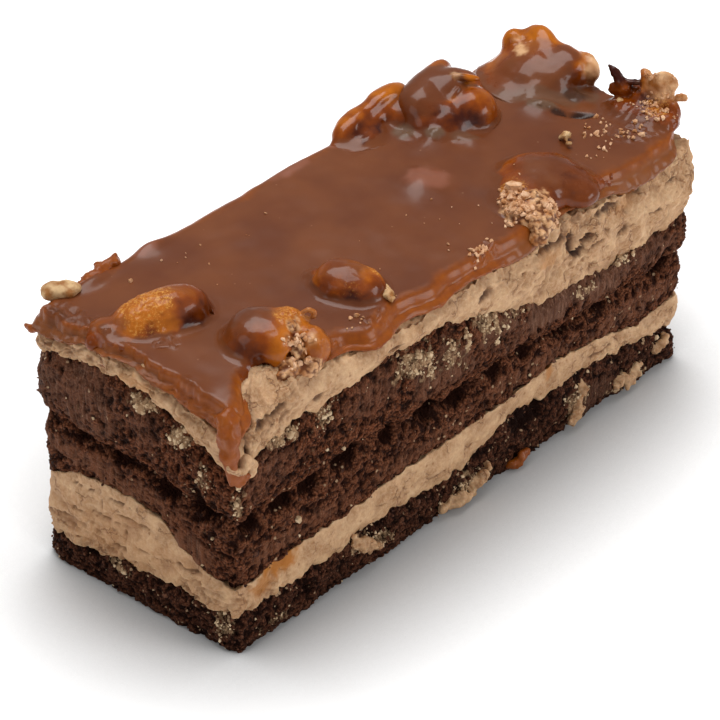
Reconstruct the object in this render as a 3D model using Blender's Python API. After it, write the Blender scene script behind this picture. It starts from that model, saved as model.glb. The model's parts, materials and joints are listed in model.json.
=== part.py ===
"""A cut slice of layered chocolate and cream brownie with a caramel and nut top.

Metres, +Z up. The slice stands on its base at z = 0, its length along X and its width along Y. The long
cut side in front faces -Y and the short cut end on the left faces -X. Sizes are given in millimetres and
turned to metres when a mesh is placed.
"""

import math

import bmesh
import bpy
from mathutils import Matrix, Vector, noise

MM = 0.001

# Plan of the slice, in millimetres.
LEFT_X = -56.6  # the left end at y = 0
LEFT_SLANT = 0.09  # the left end leans back by this much for each millimetre of y
RIGHT_X = 56.4
FRONT_Y = -20.3
BACK_Y = 20.3
NEAR_CORNER_RADIUS = 1.5  # of the upright corners along the front side
FAR_CORNER_RADIUS = 3.4
ORIGIN_X = -0.63  # the middle of the finished slice, in the coordinates used here
ORIGIN_Y = -0.29
GAP = 0.3  # left between two pieces that touch

# Grid of each layer's solid.
COLUMNS = 34  # along the length
ROWS = 8  # across the width

# Heights of the seams between the layers. "front" runs along the front side from left to right, "left"
# across the left end between its two corners, "back" along the far side from left to right.
SEAMS = {
    "table": {"front": (0.0, 0.0), "left": (0.0,), "back": (0.0, 0.0), "reach": 0.1},
    "base_top": {
        "front": (7.4, 7.8, 7.5, 8.7, 7.4, 7.8, 11.3, 10.2, 10.6, 8.6, 7.6),
        "left": (7.5, 7.6, 6.4, 6.0),
        "back": (5.2, 7.0, 7.6, 8.0, 7.4),
        "reach": -0.3,
    },
    "lower_cream_top": {
        "front": (12.6, 14.0, 13.7, 14.6, 14.6, 14.9, 15.2, 16.5, 15.0, 12.6, 13.5),
        "left": (14.6, 20.0, 21.0, 20.2),
        "back": (17.0, 16.2, 15.5, 15.0, 13.6),
        "reach": -0.2,
    },
    "middle_sponge_top": {
        "front": (25.6, 24.6, 25.0, 24.5, 23.6, 23.0, 23.3, 22.4, 22.2, 22.0, 22.6),
        "left": (26.2, 27.4, 27.6, 28.4),
        "back": (29.6, 26.6, 25.0, 24.0, 23.2),
        "reach": -1.6,
    },
    "upper_sponge_top": {
        "front": (35.4, 39.3, 38.8, 39.4, 39.6, 37.0, 33.0, 31.0, 30.0, 29.7, 31.0),
        "left": (40.0, 43.3, 43.7, 43.0),
        "back": (41.0, 40.0, 38.0, 35.0, 33.0),
        "reach": -0.2,
    },
    "upper_cream_top": {
        "front": (41.6, 46.2, 44.8, 43.3, 43.6, 44.0, 43.3, 44.8, 43.6, 42.4, 44.0),
        "left": (43.4, 45.8, 47.0, 45.0),
        "back": (44.2, 44.2, 44.0, 44.0, 43.2),
        "reach": -0.4,
    },
    "caramel_top": {
        "front": (47.2, 47.6, 47.4, 47.3, 47.4, 47.5, 47.4, 47.6, 47.5, 47.4, 47.6),
        "left": (48.4, 49.4, 50.0, 49.4),
        "back": (49.2, 49.0, 49.3, 49.0, 47.6),
        "reach": -1.2,
    },
}
END_FADE = 11.0  # distance along X over which the left end's heights fade into the long sides' heights
SEAM_RIPPLE = 0.25

# Each layer: its two seams, how far its cut sides stand out of the plan (left, right, front, back), the
# depth of its crags, their size, and its side's profile as (height fraction, share of that reach).
SPONGE_PROFILE = ((0.12, 0.9), (0.5, 1.0), (0.88, 0.9))
CREAM_PROFILE = ((0.2, 0.9), (0.8, 1.0))
CARAMEL_PROFILE = ((0.35, 1.0), (0.78, 0.7))
LAYERS = {
    "base_sponge": ("table", "base_top", (0.5, 0.2, 0.6, 0.0), 0.75, 4.5, SPONGE_PROFILE),
    "lower_cream": ("base_top", "lower_cream_top", (0.2, 0.6, 0.1, -0.2), 0.45, 6.0, CREAM_PROFILE),
    "middle_sponge": ("lower_cream_top", "middle_sponge_top", (0.0, 0.2, 0.1, -0.2), 0.6, 4.0, SPONGE_PROFILE),
    "upper_sponge": ("middle_sponge_top", "upper_sponge_top", (0.9, 1.0, 0.6, 0.4), 0.55, 4.5, SPONGE_PROFILE),
    "upper_cream": ("upper_sponge_top", "upper_cream_top", (0.5, 0.9, 0.5, 0.3), 0.55, 6.0, CREAM_PROFILE),
    "caramel_glaze": ("upper_cream_top", "caramel_top", (0.9, -1.8, 0.9, 0.8), 0.35, 9.0, CARAMEL_PROFILE),
}
FILL_GAP_AT_BASE = 3.0  # the base sponge falls away below the lower cream at the right end
BASE_FALL_START = 0.93

# The caramel is torn back here along the front, so that cream shows on top.
BITE_START_X = -53.0
BITE_END_X = -36.0
BITE_DEPTH = 2.9

# Deep hollows in the cut sides: side, place along the side, height, radius and depth.
HOLLOWS = (
    ("left", -14.0, 26.5, 4.2, 2.4),
    ("left", -6.5, 26.2, 2.6, 1.6),
    ("left", -14.0, 9.5, 2.6, 1.6),
    ("left", 11.0, 6.0, 3.6, 1.2),
    ("front", -51.0, 24.5, 2.4, 1.2),
    ("front", -30.0, 25.6, 3.2, 1.4),
    ("front", -6.0, 23.0, 4.0, 1.4),
    ("front", 12.0, 23.0, 3.0, 1.4),
    ("front", 16.0, 8.5, 4.0, 1.6),
    ("front", 50.0, 22.8, 3.0, 1.6),
)

# Low swellings and one pit of the caramel: x, y, radius along X, radius along Y and height.
CARAMEL_LUMPS = (
    (-55.0, 6.0, 3.0, 2.4, 1.2),
    (-55.6, -11.5, 3.0, 2.6, 0.9),
    (10.8, 0.6, 5.0, 4.6, 1.3),
    (36.0, 17.0, 5.0, 4.5, 2.6),
    (43.0, 3.0, 5.0, 5.0, 1.2),
    (47.6, 0.2, 2.6, 2.6, -1.6),
    (50.0, -13.0, 5.0, 6.0, 1.6),
    (-34.0, 19.5, 5.0, 3.0, 1.2),
)

# The drip of caramel down the near left corner: x, y, z, half width and half thickness of each bead.
DRIP_BEADS = (
    (-55.4, -20.3, 45.6, 2.9, 1.9),
    (-55.9, -20.9, 42.4, 2.5, 1.8),
    (-55.9, -20.9, 39.2, 2.2, 1.5),
    (-55.6, -20.8, 36.2, 2.3, 1.4),
)
DRIP_HEADING = math.radians(45.0)

# Nuts: centre, half sizes, heading in degrees and depth of the broken or wrinkled relief.
NUTS = {
    "nut_whole": ((-46.2, 2.4, 49.1), (8.5, 4.1, 3.7), -10.0, 0.05),
    "nut_broken": ((-37.9, -13.2, 48.7), (7.2, 7.3, 4.0), 20.0, 0.10),
    "nut_middle": ((-18.3, -10.0, 48.7), (4.5, 4.8, 2.9), 30.0, 0.06),
    "nut_back_edge": ((17.4, 18.9, 49.9), (8.6, 3.6, 3.3), 3.0, 0.05),
    "nut_crumbed": ((23.5, -13.6, 48.0), (8.5, 8.0, 3.3), -12.0, 0.08),
    "nut_far_right": ((51.0, 9.3, 50.7), (6.4, 8.8, 4.9), -10.0, 0.12),
    "nut_right_corner": ((54.0, -11.8, 50.9), (3.6, 7.4, 5.2), 14.0, 0.16),
    "nut_half_pale": ((-52.7, 19.3, 50.2), (2.9, 2.4, 1.9), 20.0, 0.08),
}
# The big folded nut is two lobes that meet in a crease.
FOLDED_NUT = "nut_folded"
FOLDED_LOBES = (
    ((30.6, 10.9, 50.6), (6.6, 5.2, 4.7), 6.0, 0.06),
    ((30.2, 17.0, 50.8), (5.9, 3.9, 3.9), 10.0, 0.06),
)
NUT_SEGMENTS = 14
NUT_RINGS = 8

# Material of each layer: colour as the eye sees it (sRGB hex), roughness.
SPONGE_DARK = ("33211A", 0.9)
SPONGE_BROWN = ("4A3026", 0.85)
CREAM = ("CDAA86", 0.7)
CARAMEL = ("85503A", 0.3)
NUT_GLAZED = ("A5581C", 0.25)
NUT_PALE = ("D8B48A", 0.6)
LAYER_FINISH = {
    "base_sponge": SPONGE_DARK,
    "lower_cream": CREAM,
    "middle_sponge": SPONGE_BROWN,
    "upper_sponge": SPONGE_BROWN,
    "upper_cream": CREAM,
    "caramel_glaze": CARAMEL,
}


def mix(a, b, t):
    return a + (b - a) * t


def ease(t):
    t = min(max(t, 0.0), 1.0)
    return t * t * (3.0 - 2.0 * t)


def along_row(values, t):
    """Smooth curve through evenly spaced values, at t from 0 to 1."""
    last = len(values) - 1
    place = min(max(t, 0.0), 1.0) * last
    i = min(int(place), last - 1)
    f = place - i
    before = values[max(i - 1, 0)]
    start = values[i]
    end = values[i + 1]
    after = values[min(i + 2, last)]
    slope_in = (end - before) / 2.0
    slope_out = (after - start) / 2.0
    return (
        start * (1.0 + 2.0 * f) * (1.0 - f) ** 2
        + slope_in * f * (1.0 - f) ** 2
        + end * f * f * (3.0 - 2.0 * f)
        + slope_out * f * f * (f - 1.0)
    )


def ripple(x, y, z, grain, seed):
    """Smooth unevenness from about -1 to 1, with lumps of about the size grain."""
    return noise.noise(Vector((x, y, z)) / grain + Vector((7.3, 3.1, 5.7)) * seed) * 1.6


def seam_height(name, u, v):
    """Height of a seam at u along the length and v across the width, both from 0 to 1."""
    seam = SEAMS[name]
    front = seam["front"]
    back = seam["back"]
    across = mix(along_row(front, u), along_row(back, u), ease(v))
    end_row = (front[0], *seam["left"], back[0])
    plain_end = mix(front[0], back[0], ease(v))
    fade = math.exp(-u * (RIGHT_X - LEFT_X) / END_FADE)
    height = across + (along_row(end_row, v) - plain_end) * fade
    if name == "table":
        return 0.0
    seed = len(name)
    inside = 4.0 * v * (1.0 - v)
    return height + SEAM_RIPPLE * ripple(u * 110.0, v * 40.0, 0.0, 9.0, seed) * inside


def bite(u):
    """How far the caramel is torn back from the front edge at u."""
    x = mix(LEFT_X, RIGHT_X, u)
    rise = ease((x - BITE_START_X) / 3.0)
    fall = 1.0 - ease((x - BITE_END_X + 3.0) / 3.0)
    return BITE_DEPTH * rise * fall


def round_corner(x, y, left, right, front, back):
    """Squeezes the square corners of the plan into round ones."""
    radius = NEAR_CORNER_RADIUS if y < 0.0 else FAR_CORNER_RADIUS
    centre_x = min(max(x, left + radius), right - radius)
    centre_y = min(max(y, front + radius), back - radius)
    a = x - centre_x
    b = y - centre_y
    if a == 0.0 or b == 0.0:
        return x, y
    squeeze = max(abs(a), abs(b)) / math.hypot(a, b)
    return centre_x + a * squeeze, centre_y + b * squeeze


def plan_point(u, v, reach):
    """Place in the plan of the grid point (u, v), with the sides moved out by reach."""
    out_left, out_right, out_front, out_back = reach
    front = FRONT_Y - out_front
    back = BACK_Y + out_back
    y = mix(front, back, v)
    left = LEFT_X - LEFT_SLANT * y - out_left
    right = RIGHT_X + out_right
    x = mix(left, right, u)
    return round_corner(x, y, left, right, front, back)


def seam_reach(name, u):
    amount = SEAMS[name]["reach"]
    front = amount
    if name in ("upper_cream_top", "caramel_top"):
        front -= bite(u)
    return amount, amount, front, amount


def hollow_depth(side, along, z):
    depth = 0.0
    for where, place, height, radius, deep in HOLLOWS:
        if where == side:
            away = math.hypot(along - place, z - height) / radius
            depth += deep * math.exp(-away * away)
    return depth


def crag(x, y, z, u, v, depth, grain, seed):
    """Moves a point of a cut side in or out, and returns its new x and y."""
    relief = depth * (ripple(x, y, z, grain, seed) + 0.5 * ripple(x, y, z, grain / 2.3, seed + 9))
    if v == 0.0:
        y -= relief - hollow_depth("front", x, z)
    if v == 1.0:
        y += relief
    if u == 0.0:
        x -= relief - hollow_depth("left", y, z)
    if u == 1.0:
        x += relief
    return x, y


def layer_point(name, u, v, w):
    """Place of the grid point (u, v, w) of a layer, in millimetres. w runs from its floor to its top."""
    low_seam, high_seam, reach, depth, grain, profile = LAYERS[name]
    low = seam_height(low_seam, u, v)
    high = seam_height(high_seam, u, v) - GAP / 2.0
    if low_seam != "table":
        low += GAP / 2.0
    if name == "base_sponge":
        high -= FILL_GAP_AT_BASE * ease((u - BASE_FALL_START) / (1.0 - BASE_FALL_START)) * (1.0 - v)
    if name == "caramel_glaze":
        high += caramel_lumps(*plan_point(u, v, (0.0, 0.0, 0.0, 0.0)))
    level = round(w * (len(profile) + 1))
    on_side = u in (0.0, 1.0) or v in (0.0, 1.0)
    if level == 0:
        return (*plan_point(u, v, seam_reach(low_seam, u)), low)
    if level == len(profile) + 1:
        drop = 0.9 if name == "caramel_glaze" and on_side else 0.0
        return (*plan_point(u, v, seam_reach(high_seam, u)), high - drop)
    fraction, share = profile[level - 1]
    z = mix(low, high, fraction)
    out_left, out_right, out_front, out_back = (side * share for side in reach)
    if name == "caramel_glaze":
        out_front -= bite(u)
    x, y = plan_point(u, v, (out_left, out_right, out_front, out_back))
    x, y = crag(x, y, z, u, v, depth, grain, len(name))
    return x, y, z


def caramel_lumps(x, y):
    height = 0.0
    for lump_x, lump_y, size_x, size_y, rise in CARAMEL_LUMPS:
        away = math.hypot((x - lump_x) / size_x, (y - lump_y) / size_y)
        height += rise * math.exp(-away * away * 1.6)
    return height


def edges_along(bm, axis):
    """The edges of a cube's grid that run along X, Y or Z."""
    return [e for e in bm.edges if abs(e.verts[0].co[axis] - e.verts[1].co[axis]) > 1e-5]


def split_alike(bm):
    """Cuts each square of the grid along the same diagonal, so that facing sheets stay parallel."""
    for face in list(bm.faces):
        by_place = sorted(face.verts, key=lambda vert: vert.co.x + vert.co.y + vert.co.z)
        bmesh.utils.face_split(face, by_place[0], by_place[3])


def new_object(name, bm, collection, parent):
    mesh = bpy.data.meshes.new(name)
    bm.to_mesh(mesh)
    bm.free()
    obj = bpy.data.objects.new(name, mesh)
    obj.parent = parent
    collection.objects.link(obj)
    return obj


def make_layer(name, collection, parent):
    """One layer: a cube cut into a grid, each point of which is moved to its place in the slice."""
    bands = len(LAYERS[name][5]) + 1
    bm = bmesh.new()
    bmesh.ops.create_cube(bm, size=1.0, matrix=Matrix.Translation((0.5, 0.5, 0.5)))
    for axis, cells in enumerate((COLUMNS, ROWS, bands)):
        bmesh.ops.subdivide_edges(bm, edges=edges_along(bm, axis), cuts=cells - 1, use_grid_fill=True)
    for vert in bm.verts:
        vert.co.x = round(vert.co.x * COLUMNS) / COLUMNS
        vert.co.y = round(vert.co.y * ROWS) / ROWS
        vert.co.z = round(vert.co.z * bands) / bands
    split_alike(bm)
    for vert in bm.verts:
        vert.co = Vector(layer_point(name, *vert.co)) * MM
    bmesh.ops.recalc_face_normals(bm, faces=bm.faces)
    return new_object(name, bm, collection, parent)


def make_lobe(name, shape, collection, parent, grow=0.0):
    """A nut or one lobe of it: a ball stretched to its sizes, with its wrinkles. grow makes it bigger."""
    centre, halves, heading, wrinkle = shape
    bm = bmesh.new()
    bmesh.ops.create_uvsphere(bm, u_segments=NUT_SEGMENTS, v_segments=NUT_RINGS, radius=1.0)
    for vert in bm.verts:
        x, y, z = vert.co
        swell = 1.0 + wrinkle * ripple(x * 5.0, y * 5.0, z * 5.0, 2.4, halves[0])
        vert.co = Vector((x * (halves[0] + grow), y * (halves[1] + grow), z * (halves[2] + grow))) * swell
    turn = Matrix.Rotation(math.radians(heading), 4, "Z")
    bm.transform(Matrix.Scale(MM, 4) @ turn)
    bmesh.ops.triangulate(bm, faces=bm.faces)
    obj = new_object(name, bm, collection, parent)
    obj.location = Vector(centre) * MM
    return obj


def make_drip(name, collection, parent, grow=0.0):
    """The drip: flat beads of caramel strung down the corner, joined into one skin."""
    bm = bmesh.new()
    sides = 10
    rings = []
    top = Vector(DRIP_BEADS[0][:3]) + Vector((0.0, 0.0, 1.4 + grow))
    tip = Vector(DRIP_BEADS[-1][:3]) - Vector((0.0, 0.0, 2.0 + grow))
    for x, y, z, half_width, half_depth in DRIP_BEADS:
        ring = []
        for i in range(sides):
            angle = 2.0 * math.pi * i / sides
            across = (half_width + grow) * math.cos(angle)
            out = (half_depth + grow) * math.sin(angle)
            place = Matrix.Rotation(-DRIP_HEADING, 3, "Z") @ Vector((across, out, 0.0))
            ring.append(bm.verts.new((place + Vector((x, y, z))) * MM))
        rings.append(ring)
    for upper, lower in zip(rings, rings[1:]):
        for i in range(sides):
            j = (i + 1) % sides
            bm.faces.new((upper[i], upper[j], lower[j], lower[i]))
    for ring, end in ((rings[0], top), (rings[-1], tip)):
        point = bm.verts.new(end * MM)
        for i in range(sides):
            bm.faces.new((ring[i], ring[(i + 1) % sides], point))
    bmesh.ops.recalc_face_normals(bm, faces=bm.faces)
    bmesh.ops.triangulate(bm, faces=bm.faces)
    return new_object(name, bm, collection, parent)


def as_cutter(obj):
    obj.hide_render = True
    obj.display_type = "WIRE"
    return obj


def boolean(target, other, operation, solver="EXACT"):
    modifier = target.modifiers.new(other.name, "BOOLEAN")
    modifier.operation = operation
    modifier.solver = solver
    modifier.object = other


def finish(obj, name, look):
    """Gives a piece its own Principled material."""
    colour, roughness = look
    material = bpy.data.materials.new(name)
    material.use_nodes = True
    shader = material.node_tree.nodes["Principled BSDF"]
    channels = [int(colour[i : i + 2], 16) / 255.0 for i in (0, 2, 4)]
    linear = [c / 12.92 if c <= 0.04045 else ((c + 0.055) / 1.055) ** 2.4 for c in channels]
    shader.inputs["Base Color"].default_value = (*linear, 1.0)
    shader.inputs["Roughness"].default_value = roughness
    shader.inputs["Metallic"].default_value = 0.0
    obj.data.materials.append(material)


def new_collection(name):
    collection = bpy.data.collections.new(name)
    bpy.context.scene.collection.children.link(collection)
    return collection


def main():
    for obj in list(bpy.data.objects):
        bpy.data.objects.remove(obj, do_unlink=True)
    slice_parts = new_collection("layered_brownie")
    cutters = new_collection("cutters")
    stand = bpy.data.objects.new("slice_origin", None)
    slice_parts.objects.link(stand)
    stand.location = (-ORIGIN_X * MM, -ORIGIN_Y * MM, 0.0)

    layers = {name: make_layer(name, slice_parts, stand) for name in LAYERS}
    for name, obj in layers.items():
        finish(obj, name, LAYER_FINISH[name])
    glaze = layers["caramel_glaze"]
    cream = layers["upper_cream"]

    drip = as_cutter(make_drip("drip_shape", cutters, stand))
    drip_room = as_cutter(make_drip("drip_room", cutters, stand, grow=GAP))
    # The exact solver loses the caramel after a few of its many sockets, so it and the cream use the other.
    boolean(glaze, drip, "UNION", "MANIFOLD")
    boolean(cream, drip_room, "DIFFERENCE", "MANIFOLD")
    boolean(layers["upper_sponge"], drip_room, "DIFFERENCE")

    nuts = {}
    for name, shape in NUTS.items():
        nuts[name] = make_lobe(name, shape, slice_parts, stand)
        room = as_cutter(make_lobe(name + "_room", shape, cutters, stand, grow=GAP))
        boolean(glaze, room, "DIFFERENCE", "MANIFOLD")
        boolean(cream, room, "DIFFERENCE", "MANIFOLD")
        finish(nuts[name], name, NUT_PALE if name == "nut_half_pale" else NUT_GLAZED)

    front_lobe, back_lobe = FOLDED_LOBES
    folded = make_lobe(FOLDED_NUT, front_lobe, slice_parts, stand)
    other_lobe = as_cutter(make_lobe("nut_folded_back_lobe", back_lobe, cutters, stand))
    boolean(folded, other_lobe, "UNION")
    finish(folded, FOLDED_NUT, NUT_GLAZED)
    for number, lobe in enumerate(FOLDED_LOBES):
        room = as_cutter(make_lobe(f"nut_folded_room_{number}", lobe, cutters, stand, grow=GAP))
        boolean(glaze, room, "DIFFERENCE", "MANIFOLD")
        boolean(nuts["nut_back_edge"], room, "DIFFERENCE")


main()
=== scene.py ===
"""Looks of a cut slice of layered chocolate and cream brownie with a caramel and nut top.

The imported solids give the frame. Each of them is replaced here by a finely made piece of the same form:
crumbly sponge, spread cream, poured milk caramel, glazed nuts, crumbs and smears. Shapes are worked out in
millimetres, in the plan of the slice, and turned to metres when a mesh is made.
"""

import itertools
import json
import math

import bpy
import numpy as np
import openvdb
from mathutils import Matrix, Vector

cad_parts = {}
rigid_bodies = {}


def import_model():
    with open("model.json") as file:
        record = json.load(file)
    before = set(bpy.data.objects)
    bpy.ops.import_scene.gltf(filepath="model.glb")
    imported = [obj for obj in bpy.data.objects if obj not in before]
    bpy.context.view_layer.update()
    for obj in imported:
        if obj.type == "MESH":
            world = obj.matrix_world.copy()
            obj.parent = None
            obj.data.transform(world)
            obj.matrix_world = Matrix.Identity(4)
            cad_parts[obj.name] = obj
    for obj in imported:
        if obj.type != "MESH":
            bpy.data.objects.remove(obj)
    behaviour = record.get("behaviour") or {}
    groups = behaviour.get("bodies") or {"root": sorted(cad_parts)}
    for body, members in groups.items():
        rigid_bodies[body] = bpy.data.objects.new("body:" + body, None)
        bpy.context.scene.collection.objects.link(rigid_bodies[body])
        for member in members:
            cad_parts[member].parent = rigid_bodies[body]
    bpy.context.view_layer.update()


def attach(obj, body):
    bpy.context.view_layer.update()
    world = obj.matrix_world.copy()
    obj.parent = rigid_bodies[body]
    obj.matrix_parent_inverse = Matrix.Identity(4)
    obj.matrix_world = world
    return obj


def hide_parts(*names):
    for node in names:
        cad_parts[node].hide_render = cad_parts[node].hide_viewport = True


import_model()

MM = 0.001
BODY = "root"

# Plan of the slice, in millimetres, as in the solids. The left end slants, and ORIGIN_X and ORIGIN_Y are
# where the frame has its origin in this plan.
LEFT_X = -56.6
LEFT_SLANT = 0.09
RIGHT_X = 56.4
FRONT_Y = -20.3
BACK_Y = 20.3
NEAR_CORNER_RADIUS = 1.5
FAR_CORNER_RADIUS = 3.4
ORIGIN_X = -0.63
ORIGIN_Y = -0.29
END_FADE = 11.0  # how far in the left end's own seam heights reach

# Heights of the seams between the layers: along the front side from left to right, across the left end
# between its corners, and along the back from left to right.
SEAMS = {
    "table": {"front": (0.0, 0.0), "left": (0.0,), "back": (0.0, 0.0), "reach": 0.1},
    "base_top": {
        "front": (7.4, 7.8, 7.5, 8.7, 7.4, 7.8, 11.3, 10.2, 10.6, 8.6, 7.6),
        "left": (7.5, 7.6, 6.4, 6.0),
        "back": (5.2, 7.0, 7.6, 8.0, 7.4),
        "reach": -0.3,
    },
    "lower_cream_top": {
        "front": (12.6, 14.0, 13.7, 14.6, 14.6, 14.9, 15.2, 16.5, 15.0, 12.6, 13.5),
        "left": (14.6, 20.0, 21.0, 20.2),
        "back": (17.0, 16.2, 15.5, 15.0, 13.6),
        "reach": -0.2,
    },
    "middle_sponge_top": {
        "front": (25.6, 24.6, 25.0, 24.5, 23.6, 23.0, 23.3, 22.4, 22.2, 22.0, 22.6),
        "left": (26.2, 27.4, 27.6, 28.4),
        "back": (29.6, 26.6, 25.0, 24.0, 23.2),
        "reach": -1.0,
    },
    "upper_sponge_top": {
        "front": (35.4, 39.3, 38.8, 39.4, 39.6, 37.0, 33.0, 31.0, 30.0, 29.7, 31.0),
        "left": (40.0, 43.3, 43.7, 43.0),
        "back": (41.0, 40.0, 38.0, 35.0, 33.0),
        "reach": -0.2,
    },
    "upper_cream_top": {
        "front": (41.6, 46.2, 44.8, 43.3, 43.6, 44.0, 43.3, 44.8, 43.6, 42.8, 45.0),
        "left": (43.8, 46.6, 47.8, 45.8),
        "back": (44.2, 44.2, 44.0, 44.0, 44.6),
        "reach": -0.4,
    },
    "caramel_top": {
        "front": (47.2, 47.6, 47.4, 47.3, 47.4, 47.5, 47.4, 47.6, 47.5, 47.4, 47.6),
        "left": (48.4, 49.4, 50.0, 49.4),
        "back": (49.2, 49.0, 49.3, 49.0, 47.6),
        "reach": -0.2,
    },
}

# How ragged each seam is where it comes to the side: height of its waves and their length.
RAGGED = {
    "table": (0.0, 4.0),
    "base_top": (0.8, 3.2),
    "lower_cream_top": (0.45, 4.0),
    "middle_sponge_top": (0.6, 3.0),
    "upper_sponge_top": (0.8, 3.4),
    "upper_cream_top": (0.8, 4.2),
    "caramel_top": (0.15, 9.0),
}

# Each layer: its two seams, how far its sides stand out of the plan (left, right, front, back) and the
# profile of its side: shares of that reach at even heights between the two seams.
SPONGE_PROFILE = (0.9, 1.0, 0.9)
CREAM_PROFILE = (0.9, 1.0)
CARAMEL_PROFILE = (1.0, 0.6)
LAYERS = {
    "base_sponge": ("table", "base_top", (0.5, 0.2, 0.6, 0.0), SPONGE_PROFILE),
    "lower_cream": ("base_top", "lower_cream_top", (0.2, 0.6, 0.1, -0.2), CREAM_PROFILE),
    "middle_sponge": ("lower_cream_top", "middle_sponge_top", (0.0, 0.2, 0.1, -0.2), SPONGE_PROFILE),
    "upper_sponge": ("middle_sponge_top", "upper_sponge_top", (0.9, 1.0, 0.6, 0.4), SPONGE_PROFILE),
    "upper_cream": ("upper_sponge_top", "upper_cream_top", (0.5, 0.7, 0.5, 0.3), CREAM_PROFILE),
    "caramel_glaze": ("upper_cream_top", "caramel_top", (0.9, -1.8, 0.9, 0.8), CARAMEL_PROFILE),
}
BASE_FALL_START = 0.93  # the base falls away below the lower cream at the right end
BASE_FALL = 3.0  # by this much at the corner
LEAST_THICKNESS = 0.6  # of a layer at its side

# How far the caramel's edge lies inside the straight front side, evenly spaced from left to right, and
# inside the two ends, from near to far. Near the left corner it is torn back and cream shows on top.
CARAMEL_FRONT = (
    0.0, 1.0, 4.6, 6.0, 4.2, 2.0, 1.8, 1.6, -0.4, -0.3, 1.3, 1.0, 0.1, 0.5, 0.8, 0.5,
    0.4, 0.0, 0.0, 0.5, 1.4, 2.0, 1.6, 1.2, 0.8, 0.1, -0.1, 0.0, 0.0, 0.2, 0.4,
)
CARAMEL_LEFT = (0.0, 0.5, 0.2, 0.7, -0.2, 0.5, -0.4, 0.3, -0.5, 0.2, 0.0)
CARAMEL_RIGHT = (0.4, 0.0, 0.5, -0.2, 0.6, 0.0, -0.5, 0.2, -0.2, 0.4, 0.0)
CARAMEL_CORNER_RADIUS = 7.0  # of its near right corner
CARAMEL_OVERLAP = 0.4  # the caramel's side starts this far below the cream's top
CARAMEL_ROWS = 14
CREAM_SHOULDER = 0.9  # the upper cream's top rounds off by this much towards the side
SHOULDER_REACH = 1.5  # and this far in from it

# Mesh of the layers.
STEP = 0.32  # distance between two points of a side
LENGTH_STEPS = round((RIGHT_X - LEFT_X) / STEP)
WIDTH_STEPS = round((BACK_Y - FRONT_Y) / STEP)
INNER_RINGS = (0.5, 1.1, 2.2, 5.0)  # distances in from the side, on the hidden floor and top of a layer
CREAM_RINGS = (0.25, 0.5, 0.8, 1.1, 1.5, 1.9, 2.4, 2.9, 3.5, 4.1, 4.8, 5.6, 6.5, 8.0)

# -----------------------------------------------------------------------------
# Numbers: curves, unevenness and crumbs
# -----------------------------------------------------------------------------

LATTICE = 64
DRAW = np.random.default_rng(11)
SLOPES = DRAW.uniform(-1.0, 1.0, (LATTICE, LATTICE, LATTICE, 3)).astype(np.float32)
CRUMB_CENTRES = DRAW.uniform(0.0, 1.0, (LATTICE, LATTICE, LATTICE, 3)).astype(np.float32)
SEED_STEP = np.array((17.31, 5.17, 9.73))


def mix(a, b, t):
    """From a at t = 0 to b at t = 1."""
    return a + (b - a) * t


def ease(t):
    """From 0 to 1, leaving and arriving softly."""
    t = np.clip(t, 0.0, 1.0)
    return t * t * (3.0 - 2.0 * t)


def along_row(values, t):
    """Smooth curve through evenly spaced values, at t from 0 to 1."""
    values = np.asarray(values, float)
    last = len(values) - 1
    place = np.clip(t, 0.0, 1.0) * last
    i = np.minimum(place.astype(int), last - 1)
    f = place - i
    before = values[np.maximum(i - 1, 0)]
    start = values[i]
    end = values[i + 1]
    after = values[np.minimum(i + 2, last)]
    slope_in = (end - before) / 2.0
    slope_out = (after - start) / 2.0
    return (
        start * (1.0 + 2.0 * f) * (1.0 - f) ** 2
        + slope_in * f * (1.0 - f) ** 2
        + end * f * f * (3.0 - 2.0 * f)
        + slope_out * f * f * (f - 1.0)
    )


def turned(points, centre, heading):
    """Places along and across a heading in the plan, from a centre."""
    turn = math.radians(heading)
    across = points[..., 0] - centre[0]
    up = points[..., 1] - centre[1]
    return across * math.cos(turn) + up * math.sin(turn), up * math.cos(turn) - across * math.sin(turn)


def ledges(values):
    """Turns a smooth slope into flat flakes, each a step above the next, with sharp edges."""
    step = np.floor(values)
    return step + ease((values - step) * 3.5)


def at_lattice(table, cell):
    """The random values of a cell of space; they repeat after LATTICE cells."""
    cell = cell % LATTICE
    return table[cell[..., 0], cell[..., 1], cell[..., 2]]


def lumps(points, grain, seed=0):
    """Smooth unevenness, mostly between -1 and 1, with lumps about as large as grain. Each seed gives
    another pattern."""
    place = np.asarray(points) / grain + seed * SEED_STEP
    cell = np.floor(place).astype(np.int64)
    part = (place - cell).astype(np.float32)
    eased = part * part * part * (part * (part * 6.0 - 15.0) + 10.0)
    total = np.zeros(part.shape[:-1], np.float32)
    for corner in itertools.product((0, 1), repeat=3):
        corner = np.array(corner)
        weight = np.prod(np.where(corner == 1, eased, 1.0 - eased), axis=-1)
        total += weight * ((part - corner) * at_lattice(SLOPES, cell + corner)).sum(-1)
    return total * 1.9


def crumb_distance(points, grain, seed=0):
    """Distance to the nearest crumb centre, in crumb sizes."""
    place = np.asarray(points) / grain + seed * SEED_STEP
    cell = np.floor(place).astype(np.int64)
    part = (place - cell).astype(np.float32)
    nearest = np.full(part.shape[:-1], 9.0, np.float32)
    for step in itertools.product((-1, 0, 1), repeat=3):
        step = np.array(step)
        away = ((at_lattice(CRUMB_CENTRES, cell + step) + step - part) ** 2).sum(-1)
        nearest = np.minimum(nearest, away)
    return np.sqrt(nearest)


# -----------------------------------------------------------------------------
# Meshes
# -----------------------------------------------------------------------------


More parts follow.
